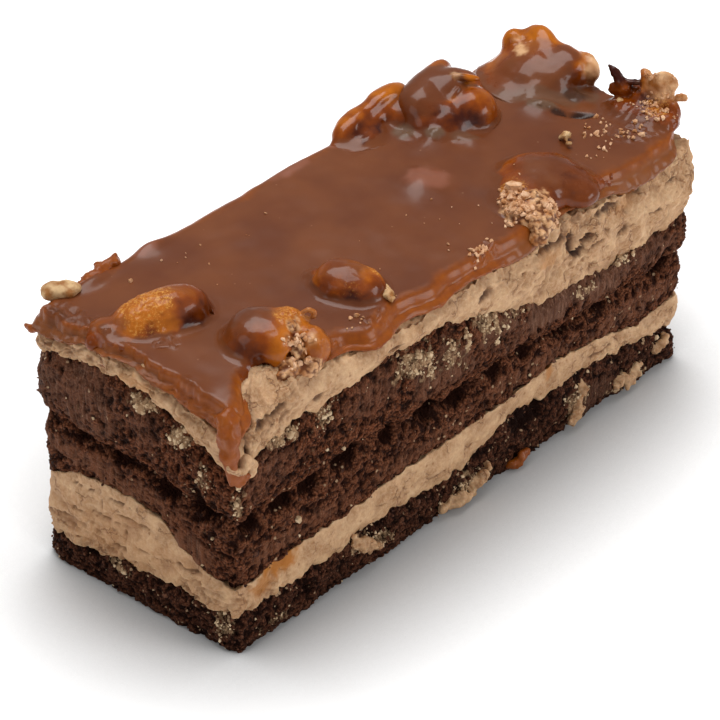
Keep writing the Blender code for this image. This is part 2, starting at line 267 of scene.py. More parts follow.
def new_piece(name, points, faces, marks=None):
    """A smooth mesh from points in millimetres, with a number at each point for each entry of marks."""
    mesh = bpy.data.meshes.new(name)
    placed = (np.asarray(points, float) - (ORIGIN_X, ORIGIN_Y, 0.0)) * MM
    mesh.from_pydata(placed.tolist(), [], faces)
    mesh.validate()
    for mark, values in (marks or {}).items():
        layer = mesh.attributes.new(mark, "FLOAT", "POINT")
        layer.data.foreach_set("value", np.asarray(values, np.float32).ravel())
    mesh.shade_smooth()
    obj = bpy.data.objects.new(name, mesh)
    bpy.context.scene.collection.objects.link(obj)
    return obj


def finish_piece(obj, material, slot, *nodes):
    """Gives a piece its material, its body and, where it has them, the solids that it stands for."""
    obj.data.materials.append(material)
    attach(obj, BODY)
    if nodes:
        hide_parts(*nodes)
    return obj


def ring_faces(count, rings):
    """Squares between rings of points that follow each other in one list."""
    start = np.arange(count)
    after = (start + 1) % count
    squares = []
    for ring in range(rings - 1):
        low = ring * count
        high = low + count
        squares.append(np.stack((low + start, low + after, high + after, high + start), -1))
    return np.concatenate(squares).tolist()


# -----------------------------------------------------------------------------
# The slice's outline and its layers
# -----------------------------------------------------------------------------


def round_trip():
    """The points of the outline, anticlockwise from the near left corner, as (u, v) in the plan."""
    along = np.arange(LENGTH_STEPS) / LENGTH_STEPS
    across = np.arange(WIDTH_STEPS) / WIDTH_STEPS
    u = np.concatenate((along, np.ones(WIDTH_STEPS), 1.0 - along, np.zeros(WIDTH_STEPS)))
    v = np.concatenate((np.zeros(LENGTH_STEPS), across, np.ones(LENGTH_STEPS), 1.0 - across))
    return u, v


def plan_point(u, v, near_right_radius=NEAR_CORNER_RADIUS):
    """Place in the plan of (u, v), with the corners rounded."""
    y = mix(FRONT_Y, BACK_Y, v)
    left = LEFT_X - LEFT_SLANT * y
    x = mix(left, RIGHT_X, u)
    near_radius = np.where(x < 0.0, NEAR_CORNER_RADIUS, near_right_radius)
    radius = np.where(y < 0.0, near_radius, FAR_CORNER_RADIUS)
    centre_x = np.clip(x, left + radius, RIGHT_X - radius)
    centre_y = np.clip(y, FRONT_Y + radius, BACK_Y - radius)
    a = x - centre_x
    b = y - centre_y
    far = np.hypot(a, b)
    squeeze = np.where(far > 1e-6, np.maximum(abs(a), abs(b)) / np.maximum(far, 1e-6), 1.0)
    return np.stack((centre_x + a * squeeze, centre_y + b * squeeze), -1)


def seam_height(name, u, v):
    """Height of a seam at (u, v) in the plan, from its rows along the front, the left end and the back."""
    seam = SEAMS[name]
    front = seam["front"]
    back = seam["back"]
    across = mix(along_row(front, u), along_row(back, u), ease(v))
    end_row = (front[0], *seam["left"], back[0])
    plain_end = mix(front[0], back[0], ease(v))
    fade = np.exp(-u * (RIGHT_X - LEFT_X) / END_FADE)
    return across + (along_row(end_row, v) - plain_end) * fade


TRIP_U, TRIP_V = round_trip()
TRIP_COUNT = len(TRIP_U)


def outward(trip):
    """Direction out of the slice at each point of an outline, turning smoothly at the corners."""
    ahead = np.roll(trip, -1, axis=0) - np.roll(trip, 1, axis=0)
    out = np.stack((ahead[:, 1], -ahead[:, 0]), -1)
    for _ in range(6):
        out = out + np.roll(out, 1, axis=0) + np.roll(out, -1, axis=0)
        out /= np.linalg.norm(out, axis=1, keepdims=True)
    return out


TRIP = plan_point(TRIP_U, TRIP_V)
OUT = outward(TRIP)
CARAMEL_TRIP = plan_point(TRIP_U, TRIP_V, CARAMEL_CORNER_RADIUS)
CARAMEL_OUT = outward(CARAMEL_TRIP)


def side_amount(left, right, front, back, out=OUT):
    """A value that each side has its own of, at each point of the outline."""
    across = np.where(out[:, 0] < 0.0, left, right)
    along = np.where(out[:, 1] < 0.0, front, back)
    return across * out[:, 0] ** 2 + along * out[:, 1] ** 2


def edge_height(name):
    """Height of a seam where it comes to the side, with its ragged waves."""
    height = seam_height(name, TRIP_U, TRIP_V)
    waves, length = RAGGED[name]
    own_pattern = 3.0 * len(name)
    at = np.concatenate((TRIP, np.full((TRIP_COUNT, 1), own_pattern)), axis=1)
    rough = lumps(at, length, 1) + 0.5 * lumps(at, length / 2.4, 2) + 0.45 * lumps(at, length / 5.0, 3)
    return height + waves * rough


EDGE = {name: edge_height(name) for name in SEAMS}


def side_points(name, rows):
    """The side of a layer before its relief: rows of points from its lower to its upper seam."""
    low_seam, high_seam, reach, profile = LAYERS[name]
    low = EDGE[low_seam]
    high = np.maximum(EDGE[high_seam], low + LEAST_THICKNESS)
    if name == "base_sponge":
        fall = ease((TRIP_U - BASE_FALL_START) / (1.0 - BASE_FALL_START)) * (1.0 - TRIP_V)
        high = high - BASE_FALL * fall
    trip, out = TRIP, OUT
    inset = 0.0
    if name == "caramel_glaze":
        trip, out = CARAMEL_TRIP, CARAMEL_OUT
        rows_of_sides = (CARAMEL_LEFT, TRIP_V), (CARAMEL_RIGHT, TRIP_V), (CARAMEL_FRONT, TRIP_U)
        inset = side_amount(*(along_row(row, place) for row, place in rows_of_sides), 0.0, out)
        low = mix(low, seam_height(low_seam, TRIP_U, TRIP_V), ease(inset))
        shoulder = CREAM_SHOULDER * (1.0 - np.exp(-np.maximum(inset, 0.0) / SHOULDER_REACH))
        low = low - CARAMEL_OVERLAP + shoulder
    full = side_amount(*reach, out)
    even = np.ones(TRIP_COUNT)
    ends = SEAMS[low_seam]["reach"], SEAMS[high_seam]["reach"]
    reaches = np.stack((ends[0] * even, *(full * share for share in profile), ends[1] * even))
    points = np.empty((rows + 1, TRIP_COUNT, 3))
    for row in range(rows + 1):
        t = row / rows
        stand = along_row(reaches, t) - inset
        points[row, :, :2] = trip + out * stand[:, None]
        points[row, :, 2] = mix(low, high, t)
    return points


def pulled_in(ring, distance, seam, lift, out=OUT):
    """A ring of points moved in from the side, on the hidden floor or top of a layer."""
    share = distance / ((BACK_Y - FRONT_Y) / 2.0)
    u = mix(TRIP_U, 0.5, share * (BACK_Y - FRONT_Y) / (RIGHT_X - LEFT_X))
    v = mix(TRIP_V, 0.5, share)
    inner = plan_point(u, v)
    blend = min(distance / INNER_RINGS[-1], 1.0)
    points = np.empty_like(ring)
    points[:, :2] = mix(ring[:, :2] - out * distance, inner, blend)
    points[:, 2] = mix(ring[:, 2], seam_height(seam, u, v), ease(blend)) + lift
    return points


def spot_amount(points, spots, wander=0.35, grain=2.0):
    """Strength at each point of spots given as (side, place along it, height, half width, half height,
    strength), with ragged outlines."""
    amount = np.zeros(points.shape[:-1])
    ways_out = {"left": -OUT[:, 0], "right": OUT[:, 0], "front": -OUT[:, 1], "back": OUT[:, 1]}
    facing = {side: np.clip(way * 1.5 - 0.3, 0.0, 1.0) for side, way in ways_out.items()}
    ragged = wander * lumps(points, grain, 31) + 0.5 * wander * lumps(points, grain / 2.7, 32)
    for side, place, height, half_width, half_height, strength in spots:
        along = points[..., 1] if side in ("left", "right") else points[..., 0]
        away = np.hypot((along - place) / half_width, (points[..., 2] - height) / half_height)
        here = strength * (1.0 - ease((away + ragged - 0.55) / 0.9)) * facing[side]
        amount = np.where(abs(here) > abs(amount), here, amount)
    return amount


# Holes and hollows in the sponge: side, place along it, height, half width, half height, depth.
HOLES = (
    ("left", -14.0, 26.6, 2.4, 2.2, 1.8),
    ("left", -6.5, 26.3, 1.9, 1.3, 1.8),
    ("left", 2.5, 27.4, 2.4, 0.7, 1.1),
    ("left", 11.0, 28.0, 2.0, 0.6, 0.9),
    ("left", -14.0, 9.6, 2.2, 1.9, 1.8),
    ("left", -5.5, 8.4, 1.7, 1.3, 1.4),
    ("left", 11.5, 5.6, 3.4, 0.7, 1.2),
    ("front", -51.0, 24.6, 2.0, 1.4, 1.8),
    ("front", -43.5, 24.4, 2.4, 1.2, 1.6),
    ("front", -37.5, 24.4, 1.7, 1.2, 1.6),
    ("front", -29.8, 25.2, 2.7, 1.6, 2.0),
    ("front", -20.0, 24.2, 1.4, 1.0, 1.3),
    ("front", -9.8, 23.4, 2.6, 1.4, 1.9),
    ("front", -3.0, 22.8, 2.7, 1.5, 1.9),
    ("front", 6.5, 22.8, 1.8, 1.0, 1.5),
    ("front", 13.6, 22.8, 1.8, 1.3, 1.6),
    ("front", 24.0, 22.2, 1.6, 1.0, 1.4),
    ("front", 34.0, 22.0, 2.2, 0.8, 1.2),
    ("front", 50.0, 22.6, 2.4, 1.5, 1.9),
    ("front", 16.0, 9.3, 4.2, 2.2, 1.7),
    ("front", 40.0, 34.0, 2.0, 0.8, 1.4),
    ("front", 46.5, 32.6, 3.2, 0.6, 1.2),
    ("front", -22.0, 4.8, 2.0, 1.1, 1.2),
    ("front", -40.0, 4.0, 2.4, 1.0, 1.1),
)


def unseen_spots(seed, low, high, count, size, strength):
    """Spots on the back and the right end, which are finished like the sides that show."""
    draw = np.random.default_rng(seed)
    spots = []
    for number in range(count):
        side = "back" if number % 3 else "right"
        half = 50.0 if side == "back" else 15.0
        spots.append((
            side,
            draw.uniform(-half, half),
            draw.uniform(low, high),
            size * draw.uniform(0.6, 1.6),
            size * draw.uniform(0.4, 0.9),
            strength * draw.uniform(0.6, 1.2),
        ))
    return spots


# Places where the knife has pressed the crumb smooth.
KNIFED = (
    ("front", 6.0, 31.5, 6.0, 2.6, 1.0),
    ("front", 20.0, 29.3, 9.0, 2.8, 1.2),
    ("front", 33.0, 28.0, 9.0, 3.0, 1.0),
    ("front", 46.0, 28.0, 8.0, 3.0, 0.8),
    ("left", 10.5, 37.0, 9.5, 6.0, 0.8),
    ("left", 12.0, 24.4, 8.0, 2.0, 0.8),
    ("left", 0.0, 22.6, 7.0, 2.2, 0.8),
    ("left", -10.5, 16.5, 4.4, 3.2, 1.1),
    ("left", -3.0, 37.5, 4.0, 4.0, 0.55),
    ("left", -8.0, 22.0, 5.0, 2.0, 0.4),
    ("front", -48.0, 33.0, 6.0, 4.0, 0.5),
    ("front", -25.0, 35.0, 6.0, 3.5, 0.55),
    ("front", -6.0, 31.0, 8.0, 4.0, 0.8),
    ("front", 10.0, 28.5, 7.0, 3.0, 0.5),
    ("front", 34.0, 27.0, 9.0, 2.5, 0.6),
    ("front", -40.0, 17.0, 14.0, 1.8, 0.6),
    ("front", -12.0, 17.2, 12.0, 1.8, 0.6),
    ("front", 16.0, 18.5, 12.0, 2.0, 0.7),
    ("front", 42.0, 17.0, 12.0, 2.2, 0.6),
    ("front", 34.0, 3.5, 6.0, 3.0, 0.9),
)

# Cream that the knife has dragged over the sponge.
SMEARED_CREAM = (
    ("left", -10.0, 38.6, 2.2, 1.8, 0.8),
    ("left", -2.6, 41.2, 2.6, 1.1, 0.9),
    ("left", -14.5, 33.5, 1.6, 2.6, 0.45),
    ("left", 14.5, 7.0, 2.6, 1.6, 1.0),
    ("left", 4.0, 5.6, 3.0, 0.8, 0.6),
    ("left", -18.0, 5.0, 1.8, 2.6, 0.6),
    ("front", -44.0, 37.8, 3.2, 1.6, 0.8),
    ("front", -35.0, 36.8, 2.4, 1.7, 0.7),
    ("front", -15.0, 36.2, 4.2, 2.8, 0.7),
    ("front", -11.0, 33.6, 0.8, 3.6, 0.7),
    ("front", -6.0, 32.8, 2.2, 3.2, 0.6),
    ("front", 2.4, 35.6, 2.6, 3.2, 0.7),
    ("front", 5.0, 33.0, 0.7, 4.0, 0.75),
    ("front", -2.4, 33.6, 0.6, 3.6, 0.7),
    ("front", 11.0, 33.0, 4.0, 1.4, 0.45),
    ("front", 28.0, 28.6, 3.0, 1.4, 0.5),
    ("front", 39.0, 30.6, 3.4, 1.6, 0.7),
    ("front", -54.5, 31.0, 1.2, 4.4, 0.55),
    ("front", -26.5, 6.4, 2.4, 1.8, 0.6),
    ("front", -22.0, 4.2, 2.8, 1.4, 0.6),
    ("front", 0.0, 3.4, 4.4, 2.0, 0.6),
    ("front", 28.0, 5.6, 3.0, 2.4, 0.6),
    ("front", 42.0, 2.6, 4.2, 1.8, 0.6),
    ("front", 51.5, 5.0, 2.0, 1.2, 0.5),
    ("front", -46.0, 2.4, 3.0, 1.2, 0.4),
)


def sponge_side(points, holes, knifed, cream):
    """Relief of a cut sponge and what its colour needs: how deep a place lies between the crumbs, which the
    material turns into painted shade in the pits and a painted sheen on the tops, where the knife has pressed
    it smooth, and where it has dragged cream over it."""
    pressed = spot_amount(points, knifed, 0.5, 3.0)
    dragged = spot_amount(points, cream, 0.7, 1.6)
    hole = spot_amount(points, holes, 0.35, 1.8)
    loose = (1.0 - 0.75 * pressed) * (1.0 - 0.4 * np.clip(dragged, 0.0, 1.0))
    crag = 0.36 * lumps(points, 5.0, 1) + 0.24 * lumps(points, 2.2, 2)
    warped = points + 0.2 * np.stack([lumps(points, 0.8, 40 + i) for i in range(3)], -1)
    big = crumb_distance(warped, 1.3, 3)
    small = crumb_distance(warped, 0.62, 4)
    crumb = 0.22 * (0.45 - big) + 0.42 * (0.45 - small)
    pores = 0.30 * ease((lumps(points, 1.5, 5) - 0.2) / 0.2)
    pores = pores + 0.34 * ease((lumps(points, 0.8, 6) - 0.15) / 0.2)
    streaks = 0.16 * lumps(points * (1.0, 1.0, 0.1), 0.62, 7) * (0.25 + pressed)
    pits = loose * (crumb - pores)
    relief = crag * (1.0 - 0.5 * pressed) + pits + streaks - hole + 0.25 * dragged
    # depth: high between the crumbs and in holes, for the painted shade; low on the crumbs' tops, for the
    # painted sheen
    depth = np.clip(0.40 - 1.5 * (pits + streaks) + 0.6 * hole + 0.4 * np.clip(-crag, 0.0, 1.0), 0.0, 1.0)
    return relief, {"depth": depth, "pressed": pressed, "cream": dragged}


def cream_side(points, everywhere, rough_spots, cracks):
    """Relief of spread cream: soft lumps, smeared flakes, a few holes and cracks. It is a little wrinkled
    everywhere, and more so at the rough spots."""
    wrinkle = everywhere + spot_amount(points, rough_spots, 0.4, 4.0)
    soft = 0.36 * lumps(points, 6.0, 11) + (0.1 + 0.3 * wrinkle) * lumps(points, 2.8, 12)
    bent = points + 0.8 * np.stack([lumps(points, 2.4, 45 + i) for i in range(3)], -1)
    slope = 1.9 * lumps(bent * (0.8, 0.8, 1.5), 4.2, 13)
    flakes = ledges(slope) - slope
    small = ledges(1.7 * lumps(bent * (0.9, 0.9, 1.3), 1.7, 14))
    curds = crumb_distance(points, 0.75, 16)
    holes = ease((lumps(bent, 1.5, 18) - 0.48) / 0.16)
    crack = spot_amount(points, cracks, 0.6, 1.5)
    torn = wrinkle * (0.34 * flakes + 0.15 * small - 0.25 * holes + 0.26 * (0.45 - curds))
    relief = soft + torn - crack
    # depth: high in the hollows and cracks, where the material paints shade
    depth = np.clip(0.42 - 1.1 * (torn - 0.15 * wrinkle) - 0.7 * soft + crack, 0.0, 1.0)
    return relief, {"depth": depth, "crack": crack, "amber": spot_amount(points, AMBER_IN_CREAM, 0.5, 1.6)}


UPPER_WRINKLE = 0.35  # how wrinkled each cream is away from its rough spots
LOWER_WRINKLE = 0.45
# Amber sugar mixed into the cream.
AMBER_IN_CREAM = (
    ("front", -45.0, 14.2, 3.6, 2.8, 1.3),
    ("front", -49.0, 11.2, 2.2, 1.8, 0.8),
    ("front", 20.2, 15.4, 0.8, 2.2, 0.8),
    ("front", 17.0, 40.0, 2.6, 1.6, 0.5),
    ("left", 4.0, 12.0, 14.0, 5.0, 0.22),
    ("front", 38.0, 41.0, 3.0, 1.4, 0.4),
    ("left", -2.0, 45.0, 3.0, 1.4, 0.45),
)
# Places where the upper and the lower cream are torn and flaky.
UPPER_FLAKY = (
    ("left", 0.0, 44.0, 26.0, 6.0, 0.9),
    ("front", -49.0, 42.0, 8.0, 6.0, 1.0),
    ("front", 8.0, 41.0, 8.0, 4.0, 0.5),
    ("front", 26.0, 38.0, 16.0, 9.0, 0.9),
    ("front", 48.0, 38.0, 14.0, 9.0, 1.0),
    ("right", 0.0, 40.0, 26.0, 10.0, 0.7),
    ("back", 0.0, 42.0, 50.0, 4.0, 0.5),
)
LOWER_FLAKY = (
    ("left", 8.0, 8.0, 14.0, 3.0, 1.0),
    ("left", -14.0, 8.0, 7.0, 4.0, 1.1),
    ("front", -50.0, 9.0, 7.0, 4.0, 0.8),
    ("front", 40.0, 10.0, 10.0, 4.0, 0.5),
)
# Cracks and small holes in the lower and the upper cream, with their depth. The material paints them dark
# as painted shade.
LOWER_CRACKS = (
    ("left", 3.5, 18.8, 2.2, 0.22, 0.6),
    ("left", 0.5, 16.4, 3.6, 0.2, 0.55),
    ("left", 6.6, 14.2, 2.2, 0.22, 0.55),
    ("left", 11.0, 18.2, 3.0, 0.2, 0.5),
    ("left", 12.0, 13.0, 1.6, 0.25, 0.5),
    ("left", 7.0, 16.4, 0.3, 1.0, 0.5),
    ("left", 2.2, 13.0, 0.3, 1.6, 0.45),
    ("left", 15.0, 10.4, 2.6, 0.3, 0.5),
    ("left", -2.0, 11.6, 2.4, 0.25, 0.45),
    ("left", -11.0, 12.8, 1.8, 0.25, 0.5),
    ("left", 4.0, 9.6, 2.6, 0.4, 0.5),
    ("front", -8.0, 9.4, 3.0, 0.3, 0.5),
    ("front", 34.0, 12.4, 3.0, 0.3, 0.5),
)
UPPER_CRACKS = (
    ("front", 12.5, 43.2, 3.8, 0.4, 0.9),
    ("front", 19.0, 42.0, 3.4, 0.5, 1.2),
    ("front", 23.4, 40.0, 0.6, 1.8, 1.0),
    ("front", 25.3, 37.8, 1.2, 0.9, 2.4),
    ("front", 27.8, 39.2, 1.6, 0.5, 1.0),
    ("front", 30.6, 37.2, 2.0, 0.3, 0.6),
    ("front", 33.0, 42.4, 2.6, 0.6, 0.8),
    ("front", 37.0, 36.0, 1.8, 0.35, 0.7),
    ("front", 41.0, 42.0, 1.6, 0.5, 0.8),
    ("front", 46.5, 36.2, 1.8, 0.35, 0.7),
    ("front", 50.0, 40.4, 1.4, 0.4, 0.6),
    ("front", -49.5, 43.0, 1.0, 0.8, 1.0),
    ("front", -46.4, 43.6, 1.8, 0.5, 0.8),
    ("front", -52.6, 39.0, 0.5, 2.4, 1.0),
    ("front", -37.0, 41.4, 1.4, 0.5, 0.6),
    ("front", -20.0, 41.2, 2.0, 0.3, 0.5),
    ("front", 1.5, 40.4, 1.6, 0.8, 0.8),
)

SIDES = {}  # the side of each layer made so far and how much cream lies on it, for the crumbs


def bend(points, relief, lift):
    """Moves the rows of a side in or out by its relief, and a little up and down."""
    moved = points.copy()
    moved[..., :2] += OUT * relief[..., None]
    moved[..., 2] += lift
    return moved


def make_layer(name, rows, relief_of):
    """A layer other than the caramel: its side with full relief, its floor and top where they can show."""
    side = side_points(name, rows)
    relief, marks = relief_of(side)
    inside = np.ones((rows + 1, 1))
    inside[0] = inside[-1] = 0.0
    side = bend(side, relief, 0.16 * lumps(side, 1.4, 21) * inside)
    SIDES[name] = side, np.clip(marks.get("cream", np.zeros(side.shape[:2])), 0.0, 1.0)
    if name == "base_sponge":
        side[..., 2] = np.maximum(side[..., 2], 0.0)
    low_seam, high_seam = LAYERS[name][:2]
    sink = 0.0 if low_seam == "table" else -0.3
    floors = [pulled_in(side[0], distance, low_seam, sink) for distance in reversed(INNER_RINGS)]
    tops = []
    for distance in CREAM_RINGS if name == "upper_cream" else INNER_RINGS:
        ring = pulled_in(side[-1], distance, high_seam, 0.0)
        ring[:, 2] += 0.3 * lumps(ring, 1.6, 22) + 0.2 * lumps(ring, 0.8, 23) - 0.3
        if name == "upper_cream":
            flakes = 0.35 * ledges(2.0 * lumps(ring, 2.4, 24)) + 0.25 * lumps(ring, 1.0, 25)
            shoulder = CREAM_SHOULDER * (1.0 - math.exp(-distance / SHOULDER_REACH))
            ring[:, 2] += shoulder + flakes * min(distance, 1.0)
        tops.append(ring)
    rings = [*floors, *side, *tops]
    faces = ring_faces(TRIP_COUNT, len(rings))
    faces.append(list(range(TRIP_COUNT - 1, -1, -1)))
    faces.append(list(range((len(rings) - 1) * TRIP_COUNT, len(rings) * TRIP_COUNT)))
    all_marks = {}
    for mark, values in marks.items():
        below = np.repeat(values[:1], len(floors), axis=0)
        above = np.repeat(values[-1:], len(tops), axis=0)
        all_marks[mark] = np.concatenate((below, values, above))
    return new_piece(name + "_cut", np.concatenate(rings), faces, all_marks)


# -----------------------------------------------------------------------------
# The caramel
# -----------------------------------------------------------------------------

# Swellings and pits of the caramel's top: x, y, radius along X, radius along Y, height, heading.
CARAMEL_SWELLS = (
    (-55.0, 6.0, 3.0, 2.4, 1.2, 0.0),
    (-55.6, -11.5, 3.0, 2.6, 0.9, 0.0),
    (10.8, 0.6, 5.0, 4.4, 1.3, 0.0),
    (43.0, 3.0, 5.0, 5.0, 1.2, 0.0),
    (45.2, -2.9, 3.4, 0.8, -1.0, -47.0),
    (42.6, 1.8, 3.2, 1.2, 0.8, -47.0),
    (50.0, 0.7, 2.4, 1.3, 0.8, -47.0),
    (45.6, 5.2, 6.0, 1.4, 0.5, -47.0),
    (18.6, 11.8, 1.7, 1.2, 0.7, -47.0),
    (21.7, 8.0, 1.9, 1.1, 0.7, -47.0),
    (24.6, 4.8, 2.0, 0.9, 0.4, -40.0),
    (45.0, 5.5, 4.0, 1.6, 0.6, 0.0),
    (50.0, -13.0, 5.0, 6.0, 1.0, 0.0),
    (-34.0, 19.5, 5.0, 3.0, 1.2, 0.0),
    (26.0, 3.0, 3.0, 2.2, 0.5, 0.0),
    (21.0, 8.0, 3.6, 1.8, 0.7, 0.0),
    (-2.0, 19.5, 6.0, 2.0, 0.6, 0.0),
    (-47.0, 18.0, 5.0, 1.6, 0.8, 0.0),
)
EDGE_ROLL = 3.4  # the top starts to round off this far in from the edge
EDGE_DROP = 1.9  # and its side comes this far down to the edge
LIP_START = 4.0  # right of here, and at the far left, a dull lip lies outside the amber band
END_EDGE_SHARE = 2.0  # at the two ends the roll is this much narrower


def caramel_height(x, y):
    """Height of the caramel's top away from its edge."""
    v = (y - FRONT_Y) / (BACK_Y - FRONT_Y)
    left = LEFT_X - LEFT_SLANT * y
    u = (x - left) / (RIGHT_X - left)
    height = seam_height("caramel_top", np.clip(u, 0.0, 1.0), np.clip(v, 0.0, 1.0))
    flat = np.stack((x, y, np.zeros_like(x)), -1)
    for swell_x, swell_y, size_x, size_y, rise, heading in CARAMEL_SWELLS:
        along, across = turned(flat, (swell_x, swell_y), heading)
        away = np.hypot(along / size_x, across / size_y)
        height = height + rise * np.exp(-away * away * 1.6)
    return height + 0.16 * lumps(flat, 9.0, 51) + 0.07 * lumps(flat, 3.6, 52)


def caramel_rim(side):
    """How wavy and rough the rolled edge of the caramel is: its relief, and where it is torn."""
    torn = spot_amount(side, (
        ("left", 0.0, 46.0, 24.0, 6.0, 1.0),
        ("front", -50.0, 46.0, 8.0, 6.0, 0.6),
        ("right", 0.0, 46.0, 24.0, 6.0, 0.7),
        ("back", 40.0, 46.0, 20.0, 6.0, 0.7),
    ))
    plan = side * (1.0, 1.0, 0.25)
    waves = (0.25 + 0.35 * torn) * lumps(plan, 5.0, 53) + (0.08 + 0.3 * torn) * lumps(plan, 2.4, 54)
    rough = torn * (0.34 * lumps(side, 1.3, 55) + 0.24 * lumps(side, 0.7, 56))
    return waves + rough, torn


def caramel_side():
    """The rolled side of the caramel, and where it is torn."""
    side = side_points("caramel_glaze", CARAMEL_ROWS)
    relief, torn = caramel_rim(side)
    fade = ease(np.linspace(0.0, 3.0, CARAMEL_ROWS + 1))[:, None]
    side[..., :2] += CARAMEL_OUT * (relief * fade)[..., None]
    side[..., 2] += 0.12 * lumps(side, 2.0, 57) * fade
    side[..., 2] -= EDGE_DROP * np.linspace(0.0, 1.0, CARAMEL_ROWS + 1)[:, None] ** 1.5
    return side, torn


def caramel_sheet(edge):
    """The top of the caramel as a grid of points inside its edge, and how far each lies from the edge."""
    front = edge[: LENGTH_STEPS + 1]
    right = edge[LENGTH_STEPS : LENGTH_STEPS + WIDTH_STEPS + 1]
    back = edge[LENGTH_STEPS + WIDTH_STEPS : 2 * LENGTH_STEPS + WIDTH_STEPS + 1][::-1]
    left = np.concatenate((edge[2 * LENGTH_STEPS + WIDTH_STEPS :], edge[:1]))[::-1]
    u = np.linspace(0.0, 1.0, LENGTH_STEPS + 1)[:, None]
    v = np.linspace(0.0, 1.0, WIDTH_STEPS + 1)[None, :]
    corners = (
        front[0] * ((1 - u) * (1 - v))[..., None]
        + front[-1] * (u * (1 - v))[..., None]
        + back[0] * ((1 - u) * v)[..., None]
        + back[-1] * (u * v)[..., None]
    )
    sheet = (
        front[:, None] * (1 - v)[..., None]
        + back[:, None] * v[..., None]
        + left[None] * (1 - u)[..., None]
        + right[None] * u[..., None]
        - corners
    )
    near_edge = np.minimum(v, 1 - v) * (BACK_Y - FRONT_Y)
    near_end = np.minimum(u, 1 - u) * (RIGHT_X - LEFT_X)
    inside = np.minimum(near_edge, END_EDGE_SHARE * near_end)
    rise = 1.0 - (1.0 - np.clip(inside / EDGE_ROLL, 0.0, 1.0)) ** 2.2
    sheet[..., 2] = mix(sheet[..., 2], caramel_height(sheet[..., 0], sheet[..., 1]), rise)
    return sheet, inside


CARAMEL_SIDE, CARAMEL_TORN = caramel_side()
CARAMEL_SHEET, CARAMEL_INSIDE = caramel_sheet(CARAMEL_SIDE[-1])
# A plain grid over the plan, coarser than the sheet so that none of its squares is missed.
MAP_STEP = 0.45
MAP_LOW = (-60.0, -24.0)
MAP_SIZE = (267, 107)
MAP_GROUND = 42.0


def caramel_maps():
    """The caramel's height and distance from its edge on the grid; MAP_GROUND and nought beyond the edge."""
    height = np.full(MAP_SIZE, MAP_GROUND)
    inside = np.zeros(MAP_SIZE)
    place = np.round((CARAMEL_SHEET[..., :2] - MAP_LOW) / MAP_STEP).astype(int)
    height[place[..., 0], place[..., 1]] = CARAMEL_SHEET[..., 2]
    inside[place[..., 0], place[..., 1]] = CARAMEL_INSIDE
    return height, inside


CARAMEL_MAPS = caramel_maps()


def on_caramel(x, y):
    """Height of the caramel at (x, y), and the distance from its edge."""
    a = np.clip((x - MAP_LOW[0]) / MAP_STEP, 0.0, MAP_SIZE[0] - 1.01)
    b = np.clip((y - MAP_LOW[1]) / MAP_STEP, 0.0, MAP_SIZE[1] - 1.01)
    i = a.astype(int)
    j = b.astype(int)
    found = []
    for values in CARAMEL_MAPS:
        near = mix(values[i, j], values[i + 1, j], a - i)
        far = mix(values[i, j + 1], values[i + 1, j + 1], a - i)
        found.append(mix(near, far, b - j))
    return found


# Stains of the caramel's top: x, y, half length, half width, heading, strength. Where it is glassy, a
# grey-brown painted reflection lies on swells and folds; where it is dark, painted shade lies in the pit and
# deep folds;
# where it is pink, a pink-brown painted highlight lies on low swells; where it is grainy, it is dull and
# crumbly.
# Grey-brown painted reflection on the glassy swells and folds, also on the nuts' feet.
PAINTED_GREY_REFLECTIONS = (
    (18.8, 12.6, 2.0, 2.2, -47.0, 1.0),
    (22.0, 8.8, 2.2, 2.2, -47.0, 1.0),
    (42.6, 2.0, 3.4, 1.6, -47.0, 1.0),
    (44.6, 4.2, 8.0, 3.0, -47.0, 0.6),
    (51.4, -0.6, 3.0, 2.0, -60.0, 0.6),
    (25.4, 4.6, 2.6, 1.2, -40.0, 0.5),
)
# Dark painted shade in the pit and the deep folds, and in a dark window on the left lip.
PAINTED_FOLD_SHADE = (
    (46.4, -4.0, 2.8, 1.0, -47.0, 1.0),
    (43.4, -0.9, 1.7, 0.9, -47.0, 0.9),
    (49.6, 0.6, 2.8, 1.6, -47.0, 0.6),
    (21.4, 11.6, 1.3, 0.9, -47.0, 0.9),
    (-57.0, 15.4, 1.4, 2.6, -10.0, 0.35),
)
# Pink-brown painted highlight on the low swells of the top.
PAINTED_HIGHLIGHT_SPOTS = (
    (11.6, 0.6, 4.4, 3.4, -30.0, 1.0),
    (-3.0, 19.6, 6.0, 3.0, 0.0, 1.0),
    (-35.4, 19.6, 4.0, 2.6, 0.0, 0.9),
    (9.0, 19.6, 3.0, 2.6, 0.0, 0.8),
)
GRAINY = (
    (-31.9, -18.4, 3.0, 1.6, 0.0, 1.0),
    (-57.0, 13.0, 3.8, 7.4, 0.0, 1.0),
    (-57.0, 1.0, 2.4, 7.0, 0.0, 0.9),
    (-50.6, -1.6, 3.0, 1.8, -40.0, 0.8),
    (-20.9, -19.0, 4.0, 1.6, 0.0, 1.0),
    (4.0, -18.6, 4.0, 1.8, 0.0, 0.9),
    (50.0, -12.0, 6.0, 6.0, 0.0, 0.7),
)


def stained(points, stains):
    """How strongly each point of the caramel is stained."""
    value = np.zeros(len(points))
    ragged = 0.25 * lumps(points * (1.0, 1.0, 0.0), 2.2, 59)
    for x, y, half_long, half_wide, heading, strength in stains:
        along, across = turned(points, (x, y), heading)
        away = np.hypot(along / half_long, across / half_wide) + ragged
        value = np.maximum(value, strength * (1.0 - ease((away - 0.6) / 0.5)))
    return value


